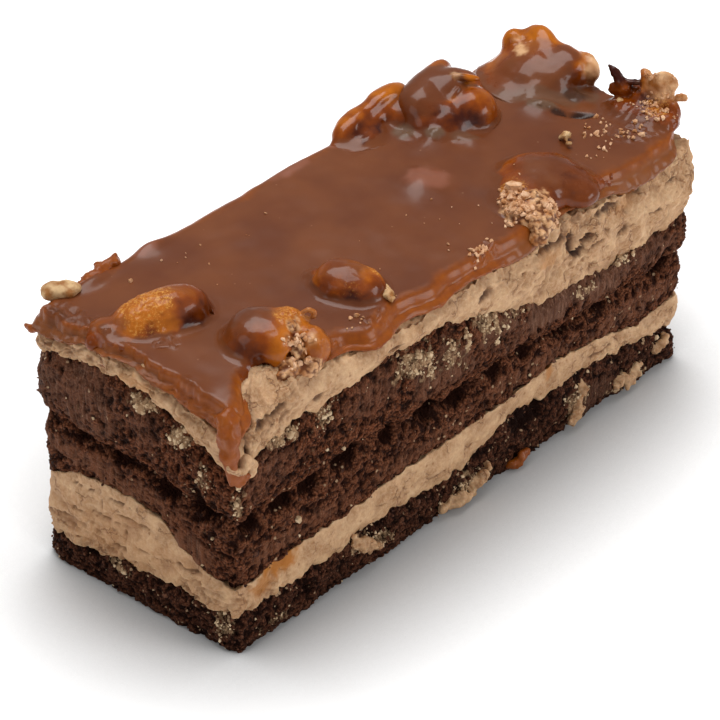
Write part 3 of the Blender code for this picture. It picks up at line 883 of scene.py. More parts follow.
def make_caramel(material):
    """The poured caramel: a smooth top that rolls over its edge down to the cream."""
    floors = []
    for distance in reversed(INNER_RINGS):
        floors.append(pulled_in(CARAMEL_SIDE[0], distance, "upper_cream_top", 0.2, CARAMEL_OUT))
    rings = [*floors, *CARAMEL_SIDE]
    start = len(rings) * TRIP_COUNT
    ring_start = start - TRIP_COUNT
    columns, lines = CARAMEL_INSIDE.shape
    index = np.full((columns, lines), ring_start)
    index[:, 0] += np.arange(columns)
    index[-1, :] = ring_start + LENGTH_STEPS + np.arange(lines)
    index[:, -1] = ring_start + (LENGTH_STEPS + WIDTH_STEPS + np.arange(columns))[::-1]
    index[0, 1:] = ring_start + (2 * LENGTH_STEPS + WIDTH_STEPS + np.arange(WIDTH_STEPS))[::-1]
    index[1:-1, 1:-1] = start + np.arange((columns - 2) * (lines - 2)).reshape(columns - 2, lines - 2)
    squares = np.stack((index[:-1, :-1], index[1:, :-1], index[1:, 1:], index[:-1, 1:]), -1)
    faces = ring_faces(TRIP_COUNT, len(rings)) + squares.reshape(-1, 4).tolist()
    faces.append(list(range(TRIP_COUNT - 1, -1, -1)))
    inner = CARAMEL_SHEET[1:-1, 1:-1].reshape(-1, 3)
    inside = CARAMEL_INSIDE[1:-1, 1:-1].reshape(-1)
    torn_side = np.concatenate((np.repeat(CARAMEL_TORN[:1], len(floors), axis=0), CARAMEL_TORN))
    marks = {
        "thin": np.concatenate((np.full(start, 0.8), thinness(inner, inside))),
        "torn": np.concatenate((torn_side.reshape(-1), np.zeros(len(inner)))),
        "lip": np.concatenate((np.ones(start), np.exp(-((inside / 0.9) ** 2)))),
    }
    grainy = stained(inner, GRAINY)
    inner[:, 2] += 0.5 * grainy * (lumps(inner, 1.5, 59) + 0.6 * lumps(inner, 0.7, 60))
    points = np.concatenate((*rings, inner))
    far_left = ease((-49.0 - points[:, 0]) / 4.0) * ease((points[:, 1] + 9.0) / 5.0)
    marks["lip"] *= np.maximum(ease((points[:, 0] - LIP_START) / 8.0), far_left)
    marks["torn"] = np.maximum(marks["torn"], stained(points, GRAINY))
    marks["glassy"] = stained(points, PAINTED_GREY_REFLECTIONS)
    marks["dark"] = stained(points, PAINTED_FOLD_SHADE)
    marks["pink"] = stained(points, PAINTED_HIGHLIGHT_SPOTS)
    obj = new_piece("caramel_top_coat", points, faces, marks)
    return finish_piece(obj, material, "caramel", "caramel_glaze")


def thinness(points, inside):
    """How far the caramel thins out to amber, from the distance inside its edge."""
    wide = inside + 0.8 * lumps(points * (1.0, 1.0, 0.0), 5.0, 58)
    return np.exp(-((np.clip(wide, 0.0, None) / 3.2) ** 2))


# -----------------------------------------------------------------------------
# Soft lumps: nuts, drips and dabs, made as skins round a field of distances
# -----------------------------------------------------------------------------


def field_points(low, high, step):
    """The points of a box, step apart."""
    axes = [np.arange(a, b + step, step, dtype=np.float32) for a, b in zip(low, high)]
    return np.stack(np.meshgrid(*axes, indexing="ij"), -1)


def ball(points, centre, halves, heading=0.0, lean=0.0):
    """Distance to an egg-like ball with the given half sizes, turned by heading and then leant over."""
    turn = Matrix.Rotation(math.radians(heading), 3, "Z") @ Matrix.Rotation(math.radians(lean), 3, "Y")
    local = (points - np.array(centre, np.float32)) @ np.array(turn, np.float32)
    halves = np.array(halves, np.float32)
    near = np.linalg.norm(local / halves, axis=-1)
    slope = np.linalg.norm(local / (halves * halves), axis=-1)
    return near * (near - 1.0) / np.maximum(slope, 1e-4)


def strand(points, route, radii):
    """Distance to a rounded strand along a route, whose radius changes from point to point."""
    nearest = np.full(points.shape[:-1], 1e3, np.float32)
    for a, b, radius_a, radius_b in zip(route, route[1:], radii, radii[1:]):
        a = np.array(a, np.float32)
        b = np.array(b, np.float32)
        t = np.clip(((points - a) @ (b - a)) / ((b - a) @ (b - a)), 0.0, 1.0)
        away = np.linalg.norm(points - a - t[..., None] * (b - a), axis=-1)
        nearest = np.minimum(nearest, away - mix(radius_a, radius_b, t))
    return nearest


def joined(a, b, soft=1.0):
    """Two shapes run together, with a fillet of about soft."""
    h = np.clip(0.5 + 0.5 * (b - a) / soft, 0.0, 1.0)
    return mix(b, a, h) - soft * h * (1.0 - h)


def without(a, b, soft=0.4):
    """The first shape with the second one scooped out of it."""
    return -joined(-a, b, soft)


def skin(distance, low, step):
    """Points and squares of the surface where the distance is zero."""
    grid = openvdb.FloatGrid(3.0 * step)
    grid.copyFromArray(np.clip(distance, -3.0 * step, 3.0 * step).astype(np.float32))
    grid.transform = openvdb.createLinearTransform(voxelSize=step)
    points, squares = grid.convertToQuads(isovalue=0.0)
    points = points + np.array(low)
    squares = squares.astype(np.int64)
    a, b, c = (points[squares[:, i]] for i in (0, 1, 2))
    if np.einsum("ij,ij->", np.cross(a, b), c) < 0.0:
        squares = squares[:, ::-1]
    return points, squares


# Steps of the grids that the nuts and runs, and the finer bare pieces, are worked out on.
NUT_STEP = 0.26
FINE_STEP = 0.2
NUT_GRID_FLOOR = 43.0
NUT_FLOOR = 44.6  # the nuts end here, inside the cream
MILK_LINE = 0.5  # milk caramel reaches this far up a nut, unless its own "foot" says otherwise

# The nuts and lumps under the caramel. "pool" is where the caramel climbs up to them: middle, half sizes,
# heading and how far it stands above the level. "wrinkle" is the unevenness of their skin: grain, depth.
# "lobes" and "cuts" are balls that are run together and scooped out: middle, half sizes, heading, lean,
# softness. "crumb" are masses of crumbs: middle, half sizes, heading. "strands" are threads: route, radii,
# softness. "rough" are crumbly places: middle, radius, grain, depth. The rest is colour, as dabs of middle,
# radius, amount: "bright" from dark red-brown to amber, partly the sugar's own tone and partly painted light
# and shade, set high on the tops and low on the undersides; "milk" for milk caramel, "core" for bare broken
# nut, "grain" for grains that break through.
NUTS = {
    "nut_whole": {
        "pool": (-45.6, 3.2, 11.0, 7.0, -15.0, 0.15),
        "foot": 0.0,
        "wrinkle": (2.4, 0.1),
        "lobes": (
            ((-50.0, 4.5, 49.0), (4.6, 3.9, 3.8), -15.0, 0.0, 0.5),
            ((-46.4, 3.4, 49.4), (5.0, 4.0, 3.9), -15.0, 0.0, 2.0),
            ((-43.4, 2.5, 49.4), (4.9, 3.9, 3.9), -15.0, 0.0, 2.0),
            ((-54.6, 7.4, 48.9), (2.0, 1.8, 1.8), 0.0, 0.0, 0.6),
            ((-56.8, 7.2, 48.0), (1.6, 1.5, 1.4), 0.0, 0.0, 0.6),
        ),
        "strands": (
            (((-50.8, 6.2, 52.2), (-53.2, 5.6, 51.4), (-54.2, 4.2, 49.8), (-53.8, 2.6, 48.4),
              (-53.2, 1.4, 47.2)), (0.4, 0.5, 0.5, 0.5, 0.6), 0.4),
        ),
        "rough": (((-48.8, 4.4, 52.2), 5.0, 0.8, 0.3), ((-50.0, 2.0, 50.4), 3.6, 0.8, 0.2)),
        "bright": (
            ((-48.4, 3.6, 52.2), 6.6, 0.9), ((-51.2, 3.0, 50.2), 3.6, 1.0), ((-41.6, 2.4, 52.0), 4.4, 0.62),
            ((-55.0, 6.6, 49.6), 3.0, 0.65), ((-45.2, -0.6, 48.6), 3.6, 0.0), ((-40.2, -0.8, 48.8), 3.4, 0.2),
            ((-50.8, 0.8, 48.0), 2.6, 0.15), ((-48.4, 0.4, 50.2), 2.0, 0.95),
        ),
        "milk": (
            ((-54.8, 7.8, 50.2), 2.2, 0.5), ((-41.6, 4.6, 52.6), 4.2, 0.45),
            ((-53.8, 4.6, 50.8), 1.6, 0.5),
        ),
        "grain": (((-48.6, 4.2, 52.2), 5.8, 1.0), ((-51.0, 2.8, 50.2), 3.4, 0.9)),
    },
    "nut_broken": {
        "pool": (-38.6, -12.0, 8.6, 8.4, 30.0, 0.25),
        "wrinkle": (2.6, 0.12),
        "lobes": (
            ((-39.5, -10.4, 48.3), (5.6, 5.2, 4.8), 20.0, 0.0, 0.5),
            ((-39.4, -14.0, 48.4), (3.4, 3.4, 3.8), 0.0, 0.0, 1.8),
            ((-35.2, -12.8, 48.6), (3.4, 3.4, 4.0), 0.0, 0.0, 1.6),
            ((-34.6, -17.0, 47.6), (2.7, 3.0, 3.5), 20.0, 0.0, 0.9),
            ((-36.2, -18.6, 48.8), (0.6, 1.8, 1.9), 30.0, 10.0, 0.3),
        ),
        "cuts": (
            ((-37.0, -15.8, 52.0), (1.7, 0.8, 1.5), 40.0, 0.0, 0.25),
            ((-37.6, -17.6, 50.4), (1.5, 1.0, 2.2), 60.0, 0.0, 0.25),
            ((-39.4, -17.6, 48.0), (2.2, 1.1, 1.6), 30.0, 0.0, 0.25),
            ((-42.6, -15.2, 46.8), (1.6, 1.0, 1.1), 40.0, 0.0, 0.25),
        ),
        "crumb": (
            ((-40.0, -17.4, 46.4), (3.2, 1.8, 1.7), 10.0),
            ((-37.6, -17.0, 48.2), (1.6, 1.2, 2.4), 60.0),
            ((-37.0, -19.0, 46.2), (2.9, 1.4, 1.7), 0.0),
            ((-36.2, -14.6, 51.4), (1.7, 0.9, 0.9), 30.0),
        ),
        "strands": (
            (((-32.4, -15.4, 51.4), (-32.4, -15.4, 52.2), (-33.0, -14.8, 52.7), (-33.6, -14.2, 52.2),
              (-33.6, -14.2, 51.4), (-33.0, -14.8, 50.9)), (0.45, 0.4, 0.4, 0.4, 0.45, 0.5), 0.3),
            (((-37.4, -13.8, 52.2), (-38.6, -15.2, 51.4), (-39.2, -16.6, 50.2)), (0.4, 0.45, 0.4), 0.4),
        ),
        "rough": (((-35.6, -13.2, 52.4), 3.0, 0.8, 0.45), ((-34.6, -17.4, 49.4), 3.6, 0.9, 0.3)),
        "bright": (
            ((-38.6, -10.6, 52.6), 5.0, 0.6), ((-42.8, -8.6, 49.4), 3.2, 0.45),
            ((-43.0, -12.4, 48.4), 3.4, 0.2), ((-39.2, -16.4, 50.4), 2.8, 1.0),
            ((-40.4, -16.8, 48.6), 2.2, 0.9), ((-34.6, -17.6, 50.0), 3.8, 0.85),
            ((-35.6, -13.0, 52.4), 3.0, 0.85), ((-38.0, -16.6, 50.0), 1.3, 0.0),
            ((-33.0, -14.8, 51.9), 1.8, 1.0),
        ),
        "milk": (((-40.0, -8.2, 51.6), 4.6, 0.8), ((-31.8, -16.6, 49.4), 2.6, 0.7)),
        "core": (
            ((-36.2, -18.4, 50.8), 1.2, 0.8), ((-38.9, -16.2, 51.0), 0.8, 0.6),
            ((-33.0, -14.8, 52.4), 1.2, 0.45),
        ),
        "grain": (
            ((-35.8, -13.2, 52.4), 3.2, 1.0), ((-34.6, -17.4, 49.6), 4.0, 0.8),
            ((-39.4, -15.4, 51.0), 2.0, 0.5),
        ),
    },
    "nut_middle": {
        "pool": (-18.8, -10.3, 6.4, 7.2, 28.0, 0.25),
        "wrinkle": (2.6, 0.14),
        "lobes": (
            ((-19.6, -9.0, 48.4), (4.2, 4.2, 3.3), 28.0, 0.0, 0.5),
            ((-18.2, -12.0, 48.1), (3.9, 3.8, 2.9), 28.0, 0.0, 1.6),
            ((-20.8, -4.6, 47.9), (1.1, 1.0, 1.1), 0.0, 0.0, 0.7),
        ),
        "rough": (((-20.6, -12.6, 49.2), 2.8, 0.8, 0.28), ((-15.6, -12.6, 49.2), 2.2, 0.8, 0.25)),
        "bright": (
            ((-19.6, -9.4, 51.4), 4.0, 0.55), ((-20.8, -12.4, 49.4), 2.6, 0.5),
            ((-16.2, -11.2, 50.2), 3.0, 0.85), ((-21.6, -13.4, 47.8), 1.8, 0.0),
            ((-21.6, -6.6, 49.0), 2.0, 0.7),
        ),
        "milk": (((-19.0, -9.6, 51.4), 3.6, 0.6),),
        "grain": (((-20.8, -12.6, 49.4), 2.8, 0.8), ((-15.8, -12.4, 49.4), 2.2, 1.0)),
    },
    "nut_back_edge": {
        "pool": (17.6, 17.6, 10.0, 5.0, 0.0, 0.3),
        "wrinkle": (4.0, 0.1),
        "lobes": (
            ((14.2, 19.2, 49.8), (5.6, 2.9, 2.8), 4.0, -8.0, 0.5),
            ((21.0, 19.4, 50.9), (6.0, 2.8, 3.0), 2.0, -8.0, 1.0),
            ((13.6, 16.4, 48.7), (4.0, 2.6, 2.0), 8.0, 0.0, 1.2),
            ((22.6, 16.4, 49.6), (3.2, 2.6, 2.4), 30.0, 0.0, 1.6),
        ),
        "cuts": (((16.4, 16.2, 52.2), (7.0, 1.4, 1.3), 6.0, -12.0, 0.8),),
        "rough": (),
        "bright": (
            ((14.0, 20.4, 51.4), 5.6, 0.9), ((22.0, 20.8, 53.4), 5.0, 0.9), ((17.0, 18.0, 50.6), 3.4, 0.5),
            ((12.0, 16.4, 48.8), 3.4, 0.15), ((17.0, 14.6, 49.0), 3.0, 0.05),
        ),
        "milk": (((22.8, 16.2, 51.4), 2.4, 0.6), ((10.4, 17.4, 48.8), 2.0, 0.5)),
    },
    "nut_folded": {
        "pool": (29.4, 11.8, 9.6, 7.8, 14.0, 0.3),
        "wrinkle": (4.0, 0.1),
        "lobes": (
            ((28.8, 12.4, 48.8), (8.4, 7.0, 4.4), 20.0, 0.0, 0.5),
            ((25.8, 14.8, 50.6), (5.0, 4.6, 4.0), 30.0, 0.0, 1.4),
            ((28.6, 16.0, 51.6), (5.2, 3.6, 3.5), 16.0, -10.0, 1.2),
            ((31.6, 13.6, 52.0), (4.4, 3.4, 3.5), 10.0, 0.0, 1.4),
            ((31.8, 17.2, 51.4), (5.2, 2.4, 3.7), 16.0, -8.0, 1.0),
            ((31.6, 9.0, 49.6), (4.8, 4.8, 4.2), 10.0, 0.0, 0.8),
            ((34.4, 12.6, 50.8), (3.0, 3.0, 3.6), 0.0, 0.0, 1.0),
            ((32.6, 11.0, 54.9), (2.6, 0.9, 0.7), -44.0, 10.0, 0.3),
        ),
        "strands": (
            (((23.6, 12.6, 50.4), (25.4, 11.0, 51.2), (27.6, 10.4, 52.4), (30.2, 10.4, 54.0)),
             (0.6, 0.6, 0.5, 0.4), 0.3),
            (((25.0, 10.2, 49.6), (27.0, 8.6, 50.2), (28.6, 7.6, 51.0)), (0.5, 0.6, 0.4), 0.4),
        ),
        "rough": (((29.6, 5.8, 49.6), 2.2, 1.0, 0.25),),
        "bright": (
            ((31.4, 19.0, 54.4), 4.4, 0.75), ((32.4, 7.4, 51.6), 4.4, 0.62), ((36.4, 9.0, 51.4), 3.4, 0.45),
            ((27.6, 7.4, 49.4), 3.4, 0.0), ((24.6, 10.6, 49.4), 2.6, 0.1), ((33.0, 10.8, 55.3), 2.0, 1.0),
            ((25.6, 11.0, 51.2), 1.1, 0.95), ((28.0, 10.4, 52.6), 1.1, 0.95), ((27.2, 8.4, 50.4), 1.0, 0.8),
        ),
        "milk": (
            ((25.6, 15.2, 53.0), 5.0, 1.0), ((30.0, 13.6, 55.0), 4.0, 0.95),
            ((35.2, 13.4, 53.4), 2.6, 0.6),
        ),
        "core": (((31.4, 12.2, 55.4), 0.9, 0.6),),
        "grain": (((29.4, 6.4, 49.8), 2.0, 0.7),),
    },
    "nut_crumbed": {
        "pool": (24.4, -13.0, 12.0, 10.0, -12.0, 0.3),
        "wrinkle": (4.0, 0.2),
        "lobes": (
            ((25.6, -11.6, 47.4), (7.4, 6.6, 3.5), -12.0, 0.0, 0.5),
            ((18.6, -14.6, 47.0), (4.6, 4.8, 3.2), 0.0, 0.0, 2.4),
            ((28.4, -17.4, 46.6), (4.0, 4.0, 2.2), -20.0, 0.0, 2.4),
        ),
        "crumb": (
            ((17.4, -18.4, 46.8), (3.9, 2.9, 2.7), 10.0),
            ((15.2, -16.4, 47.6), (2.9, 2.7, 2.2), 0.0),
            ((18.8, -16.2, 48.6), (2.6, 2.2, 1.8), 0.0),
            ((15.2, -20.2, 44.9), (2.2, 1.8, 2.4), 0.0),
        ),
        "rough": (((17.6, -12.2, 49.6), 3.2, 1.0, 0.3),),
        "bright": (
            ((24.0, -8.0, 50.2), 4.6, 0.6), ((29.6, -9.6, 50.0), 4.0, 0.55), ((25.6, -13.6, 51.0), 5.0, 0.25),
            ((17.6, -11.6, 49.6), 3.6, 0.55),
        ),
        "milk": (((25.4, -13.6, 51.0), 5.4, 0.75), ((28.6, -18.6, 48.4), 4.0, 0.5)),
        "core": (((14.6, -14.0, 48.6), 2.0, 0.6),),
        "grain": (((17.4, -12.4, 49.8), 3.8, 1.0),),
    },
    "nut_far_right": {
        "pool": (49.0, 8.8, 8.6, 10.0, -10.0, 0.3),
        "wrinkle": (4.0, 0.16),
        "lobes": (
            ((47.4, 11.4, 46.6), (8.6, 8.0, 3.6), -10.0, 0.0, 0.5),
            ((50.6, 9.8, 48.8), (6.2, 8.0, 4.6), -10.0, 0.0, 3.0),
            ((54.2, 12.4, 51.6), (2.6, 4.2, 3.7), -14.0, 0.0, 2.6),
            ((51.6, 16.4, 51.8), (2.2, 1.9, 2.5), 0.0, 0.0, 1.4),
            ((53.4, 5.6, 50.2), (3.4, 4.2, 3.8), -10.0, 0.0, 2.0),
            ((55.6, 2.8, 50.6), (1.5, 3.4, 2.5), -20.0, 0.0, 0.8),
        ),
        "cuts": (((52.7, 15.2, 55.8), (0.7, 0.7, 1.5), 0.0, 0.0, 0.4),),
        "rough": (((55.6, 2.4, 52.0), 2.4, 0.9, 0.3), ((51.0, 13.8, 54.0), 3.0, 1.0, 0.3)),
        "bright": (
            ((47.0, 12.0, 50.6), 6.0, 0.5), ((54.4, 11.6, 54.8), 4.4, 0.95), ((51.4, 17.0, 53.6), 2.6, 0.95),
            ((54.6, 3.0, 53.0), 3.0, 1.0), ((46.4, 17.0, 49.6), 3.0, 0.8), ((52.4, 5.0, 53.4), 2.6, 0.5),
        ),
        "milk": (
            ((45.4, 9.4, 50.0), 6.0, 0.65), ((51.6, 5.4, 53.4), 3.2, 0.7), ((46.0, 4.0, 49.0), 5.0, 1.0),
            ((50.6, 10.0, 53.4), 2.4, 0.5),
        ),
        "core": (
            ((50.2, 14.4, 54.6), 1.3, 1.0), ((49.2, 13.2, 53.6), 1.3, 1.0), ((48.6, 11.8, 52.8), 1.0, 0.9),
            ((56.6, 1.0, 51.2), 3.0, 1.0),
        ),
    },
    "nut_right_corner": {
        "pool": (53.0, -11.6, 5.0, 8.0, 8.0, 0.3),
        "wrinkle": (1.6, 0.3),
        "lobes": (
            ((53.8, -11.4, 47.8), (3.8, 6.8, 2.4), 6.0, 0.0, 0.5),
            ((55.2, -10.8, 49.2), (2.2, 3.0, 2.2), 0.0, 0.0, 1.2),
            ((56.2, -13.0, 53.2), (2.7, 0.9, 2.5), -50.0, 0.0, 0.4),
            ((57.0, -16.6, 52.0), (1.3, 0.5, 0.9), -50.0, 20.0, 0.2),
        ),
        "strands": (
            (((53.0, -3.8, 54.6), (53.6, -5.6, 52.8), (53.9, -6.8, 51.0)), (0.5, 0.8, 1.2), 0.3),
            (((53.8, -6.4, 52.4), (54.8, -8.6, 52.4)), (0.6, 0.5), 0.3),
            (((53.6, -4.9, 50.2), (55.4, -8.0, 50.4)), (1.1, 1.1), 0.6),
            (((55.8, -9.6, 54.0), (55.6, -10.4, 52.4), (55.4, -10.8, 50.4)), (1.1, 1.3, 1.6), 0.6),
            (((55.8, -12.0, 51.2), (56.4, -14.2, 50.4), (56.2, -16.0, 48.8)), (1.4, 1.3, 1.2), 0.6),
        ),
        "rough": (((54.0, -13.6, 49.6), 3.4, 1.0, 0.45), ((56.4, -13.2, 54.0), 3.6, 1.1, 0.3)),
        "bright": (
            ((55.6, -10.0, 53.2), 2.4, 0.85), ((54.4, -6.4, 50.4), 2.2, 0.6),
            ((57.2, -14.8, 51.4), 2.4, 0.75), ((54.6, -14.6, 49.4), 2.6, 0.6),
            ((53.2, -4.8, 53.4), 2.4, 0.0), ((54.6, -8.2, 52.6), 1.4, 0.0),
            ((55.0, -11.6, 50.2), 2.0, 0.05),
        ),
        "core": (((56.6, -13.4, 54.6), 3.6, 1.0), ((57.2, -16.8, 52.6), 1.8, 1.0)),
        "grain": (((53.8, -13.6, 49.4), 3.4, 1.0),),
    },
}


def near_spot(points, centre, radius):
    """1 at a spot and 0 beyond its radius."""
    return 1.0 - ease(np.linalg.norm(points - np.array(centre, np.float32), axis=-1) / radius)


def nut_box(nut):
    """Corners of the box that a nut is worked out in."""
    lows = []
    highs = []
    balls = [(centre, halves) for centre, halves, *rest in (*nut["lobes"], *nut.get("crumb", ()))]
    balls += [(point, (1.2, 1.2, 1.2)) for route, *rest in nut.get("strands", ()) for point in route]
    for centre, halves in balls:
        lows.append([c - max(halves[:2]) for c in centre[:2]])
        highs.append([c + max(halves[:2]) for c in centre[:2]] + [centre[2] + halves[2]])
    x, y, half_long, half_wide = nut["pool"][:4]
    low = np.minimum(np.min(lows, axis=0), (x - half_long, y - half_long))
    high = np.maximum(np.max(highs, axis=0), (x + half_long, y + half_long, 0.0))
    return (*(low - 0.8), NUT_GRID_FLOOR), high + 1.2


def crumb_mass(points, mass):
    """Small crumbs baked together, out of the distance to a plain mass."""
    return mass + 0.45 * lumps(points, 2.2, 99) + 0.8 * (crumb_gaps(points) - 0.45)


def crumb_gaps(points):
    """How near a point of a crumbly mass is to the gaps between its crumbs."""
    bent = points + 0.25 * np.stack([lumps(points, 0.8, 95 + i) for i in range(3)], -1)
    coarse = crumb_distance(bent, 0.95, 98)
    fine = crumb_distance(bent, 0.5, 97)
    return 0.75 * coarse + 0.3 * fine


def plain_mass(field, balls):
    """Distance to the nearest of some balls."""
    return np.min([ball(field, centre, halves, heading) for centre, halves, heading in balls], axis=0)


def nut_shape(field, nut):
    """Distance to a nut with the caramel that climbs up to it; fine forms are worked out near its skin."""
    body = None
    for centre, halves, heading, lean, soft in nut["lobes"]:
        lobe = ball(field, centre, halves, heading, lean)
        body = lobe if body is None else joined(body, lobe, soft)
    for centre, halves, heading, lean, soft in nut.get("cuts", ()):
        body = without(body, ball(field, centre, halves, heading, lean), soft)
    for route, radii, soft in nut.get("strands", ()):
        body = joined(body, strand(field, route, radii), soft)
    skin_part = abs(body) < 1.5
    near = field[skin_part]
    grain, depth = nut["wrinkle"]
    relief = depth * lumps(near, grain, 72) + 0.4 * depth * lumps(near, grain / 2.5, 73)
    for centre, radius, grain, depth in nut["rough"]:
        relief = relief + depth * near_spot(near, centre, radius) * (lumps(near, grain, 76) + 0.4)
    body[skin_part] -= relief
    x, y, half_long, half_wide, heading, rise = nut["pool"]
    along, across = turned(field, (x, y), heading)
    out = np.hypot(along / half_long, across / half_wide)
    height, _ = on_caramel(field[..., 0], field[..., 1])
    level = height + rise * 1.4 * np.clip(1.0 - out**2, 0.0, 1.0) ** 2 - 0.03
    pool = np.maximum((field[..., 2] - level) * 0.9, (out - 1.1) * half_wide)
    body = joined(body, pool, 1.8)
    if "crumb" in nut:
        mass = plain_mass(field, nut["crumb"])
        skin_part = abs(mass) < 2.0
        mass[skin_part] = crumb_mass(field[skin_part], mass[skin_part])
        body = np.minimum(body, mass)
    return np.maximum(body, NUT_FLOOR - field[..., 2])


def paint(points, dabs, base=0.0):
    """A value at each point, laid on as soft dabs of (centre, radius, value)."""
    value = np.full(len(points), float(base))
    for centre, radius, amount in dabs:
        away = np.linalg.norm(points - centre, axis=1) / radius
        away = away + 0.25 * lumps(points, radius / 2.0, 61)
        value = mix(value, amount, 1.0 - ease(away - 0.5))
    return value


def make_nut(name, nut, material):
    """One nut or cluster, with what its colour needs at each point."""
    low, high = nut_box(nut)
    field = field_points(low, high, NUT_STEP)
    points, squares = skin(nut_shape(field, nut), low, NUT_STEP)
    height, inside = on_caramel(points[:, 0], points[:, 1])
    above = points[:, 2] - height + 0.3 * lumps(points, 1.5, 62)
    foot = 1.0 - ease(above - nut.get("foot", MILK_LINE))
    thin = thinness(points, inside) * foot
    core = paint(points, nut.get("core", ()))
    if "crumb" in nut:
        mass = crumb_mass(points, plain_mass(points, nut["crumb"]))
        core = np.maximum(core, 1.0 - ease(mass / 0.4))
    marks = {
        # bright: the amber of the sugar, partly its own tone and partly painted light and shade, lighter on
        # top and darker below
        "bright": mix(paint(points, nut["bright"], 0.3), 0.45, thin),
        "milk": np.maximum(paint(points, nut.get("milk", ())), foot) * (1.0 - thin),
        "core": core * (1.0 - foot * (core < 0.5)),
        "grain": paint(points, nut.get("grain", ())),
        # the caramel's painted grey reflection and painted shade run onto the nut's foot
        "glassy": foot * stained(points, PAINTED_GREY_REFLECTIONS),
        "dark": foot * stained(points, PAINTED_FOLD_SHADE),
        # gap: the gaps between crumbs, which the material paints dark as painted shade
        "gap": core * ease((crumb_gaps(points) - 0.42) / 0.3) if "crumb" in nut else np.zeros(len(points)),
    }
    obj = new_piece(name + "_glazed", points, squares.tolist(), marks)
    return finish_piece(obj, material, "glazed_nut", name)


def make_bare_nut(material):
    """The half nut without glaze near the far left corner."""
    low = (-57.5, 15.0, 46.5)
    field = field_points(low, (-48.5, 23.4, 53.0), FINE_STEP)
    body = ball(field, (-52.3, 19.4, 49.4), (2.9, 1.9, 1.4), -44.0, -4.0)
    body = joined(body, ball(field, (-53.7, 20.6, 49.2), (1.6, 1.6, 1.4), 0.0), 0.6)
    body = without(body, ball(field, (-51.4, 17.4, 48.2), (2.8, 1.2, 0.8), -44.0), 0.4)
    body = body - 0.24 * lumps(field, 1.6, 88) - 0.06 * lumps(field, 0.7, 89)
    points, squares = skin(body, low, FINE_STEP)
    obj = new_piece("bare_half_nut", points, squares.tolist())
    return finish_piece(obj, material, "pale_nut", "nut_half_pale")


# -----------------------------------------------------------------------------
# Crumbs
# -----------------------------------------------------------------------------

CHIP_CORNERS = 12
# How many crumbs of cream stick to each sponge, and how many crumbs of sponge lie loose on each.
CREAM_CRUMBS = {"base_sponge": 680, "middle_sponge": 100, "upper_sponge": 960}
SPONGE_CRUMBS = 700
LEAST_HEIGHT = 0.5  # crumbs stay this far above the table


def chip_shapes(count, draw):
    """Small irregular chips, as points of count bent icosahedra and the faces of one of them."""
    golden = (1.0 + math.sqrt(5.0)) / 2.0
    points = []
    for a, b in itertools.product((-1.0, 1.0), (-golden, golden)):
        points += [(0.0, a, b), (a, b, 0.0), (b, 0.0, a)]
    points = np.array(points) / math.hypot(1.0, golden)
    side = min(np.linalg.norm(p - q) for p, q in itertools.combinations(points, 2)) * 1.1
    near = np.linalg.norm(points[:, None] - points[None], axis=-1) < side
    faces = []
    for a, b, c in itertools.combinations(range(CHIP_CORNERS), 3):
        if near[a, b] and near[b, c] and near[a, c]:
            outward_turn = np.linalg.det(points[[a, b, c]]) > 0.0
            faces.append((a, b, c) if outward_turn else (a, c, b))
    bent = points * draw.uniform(0.6, 1.35, (count, CHIP_CORNERS, 1))
    bent = bent * draw.uniform(0.55, 1.2, (count, 1, 3))
    return bent, np.array(faces)


def turned_randomly(shapes, draw):
    """Shapes, each turned its own way about its middle."""
    spin = np.linalg.qr(draw.normal(size=(len(shapes), 3, 3)))[0]
    spin[np.linalg.det(spin) < 0.0] *= -1.0
    return np.einsum("nij,npj->npi", spin, shapes)


def make_crumbs(name, places, sizes, material, slot, seed):
    """Crumbs of one kind as one mesh: a chip of the given size at each place."""
    draw = np.random.default_rng(seed)
    shapes, faces = chip_shapes(len(places), draw)
    shapes = turned_randomly(shapes, draw) * np.asarray(sizes)[:, None, None] + np.asarray(places)[:, None]
    first_corners = CHIP_CORNERS * np.arange(len(places))
    all_faces = (faces[None] + first_corners[:, None, None]).reshape(-1, 3)
    obj = new_piece(name, shapes.reshape(-1, 3), all_faces.tolist())
    obj.data.shade_flat()
    return finish_piece(obj, material, slot)


def places_on_side(side, weight, count, draw):
    """Random places on the side of a layer, more of them where the weight is large."""
    chance = np.clip(weight, 0.0, None).reshape(-1)
    chosen = draw.choice(len(chance), count, p=chance / chance.sum())
    places = side.reshape(-1, 3)[chosen] + draw.normal(0.0, 0.12, (count, 3))
    places[:, 2] = np.maximum(places[:, 2], LEAST_HEIGHT)
    return places


def make_side_crumbs(materials):
    """Crumbs of cream stuck to the sponge, and loose crumbs of sponge."""
    draw = np.random.default_rng(21)
    cream = []
    sponge = []
    for name, count in CREAM_CRUMBS.items():
        side, smeared = SIDES[name]
        cream.append(places_on_side(side, 0.003 + smeared**2, count, draw))
        sponge.append(places_on_side(side, np.ones(side.shape[:2]), SPONGE_CRUMBS, draw))
    cream = np.concatenate(cream)
    sponge = np.concatenate(sponge)
    cream_sizes = draw.lognormal(-1.7, 0.5, len(cream))
    sponge_sizes = draw.lognormal(-1.5, 0.35, len(sponge))
    make_crumbs("cream_crumbs", cream, cream_sizes, materials["cream_crumb"], "cream", 22)
    make_crumbs("sponge_crumbs", sponge, sponge_sizes, materials["sponge_crumb"], "brown_sponge", 23)


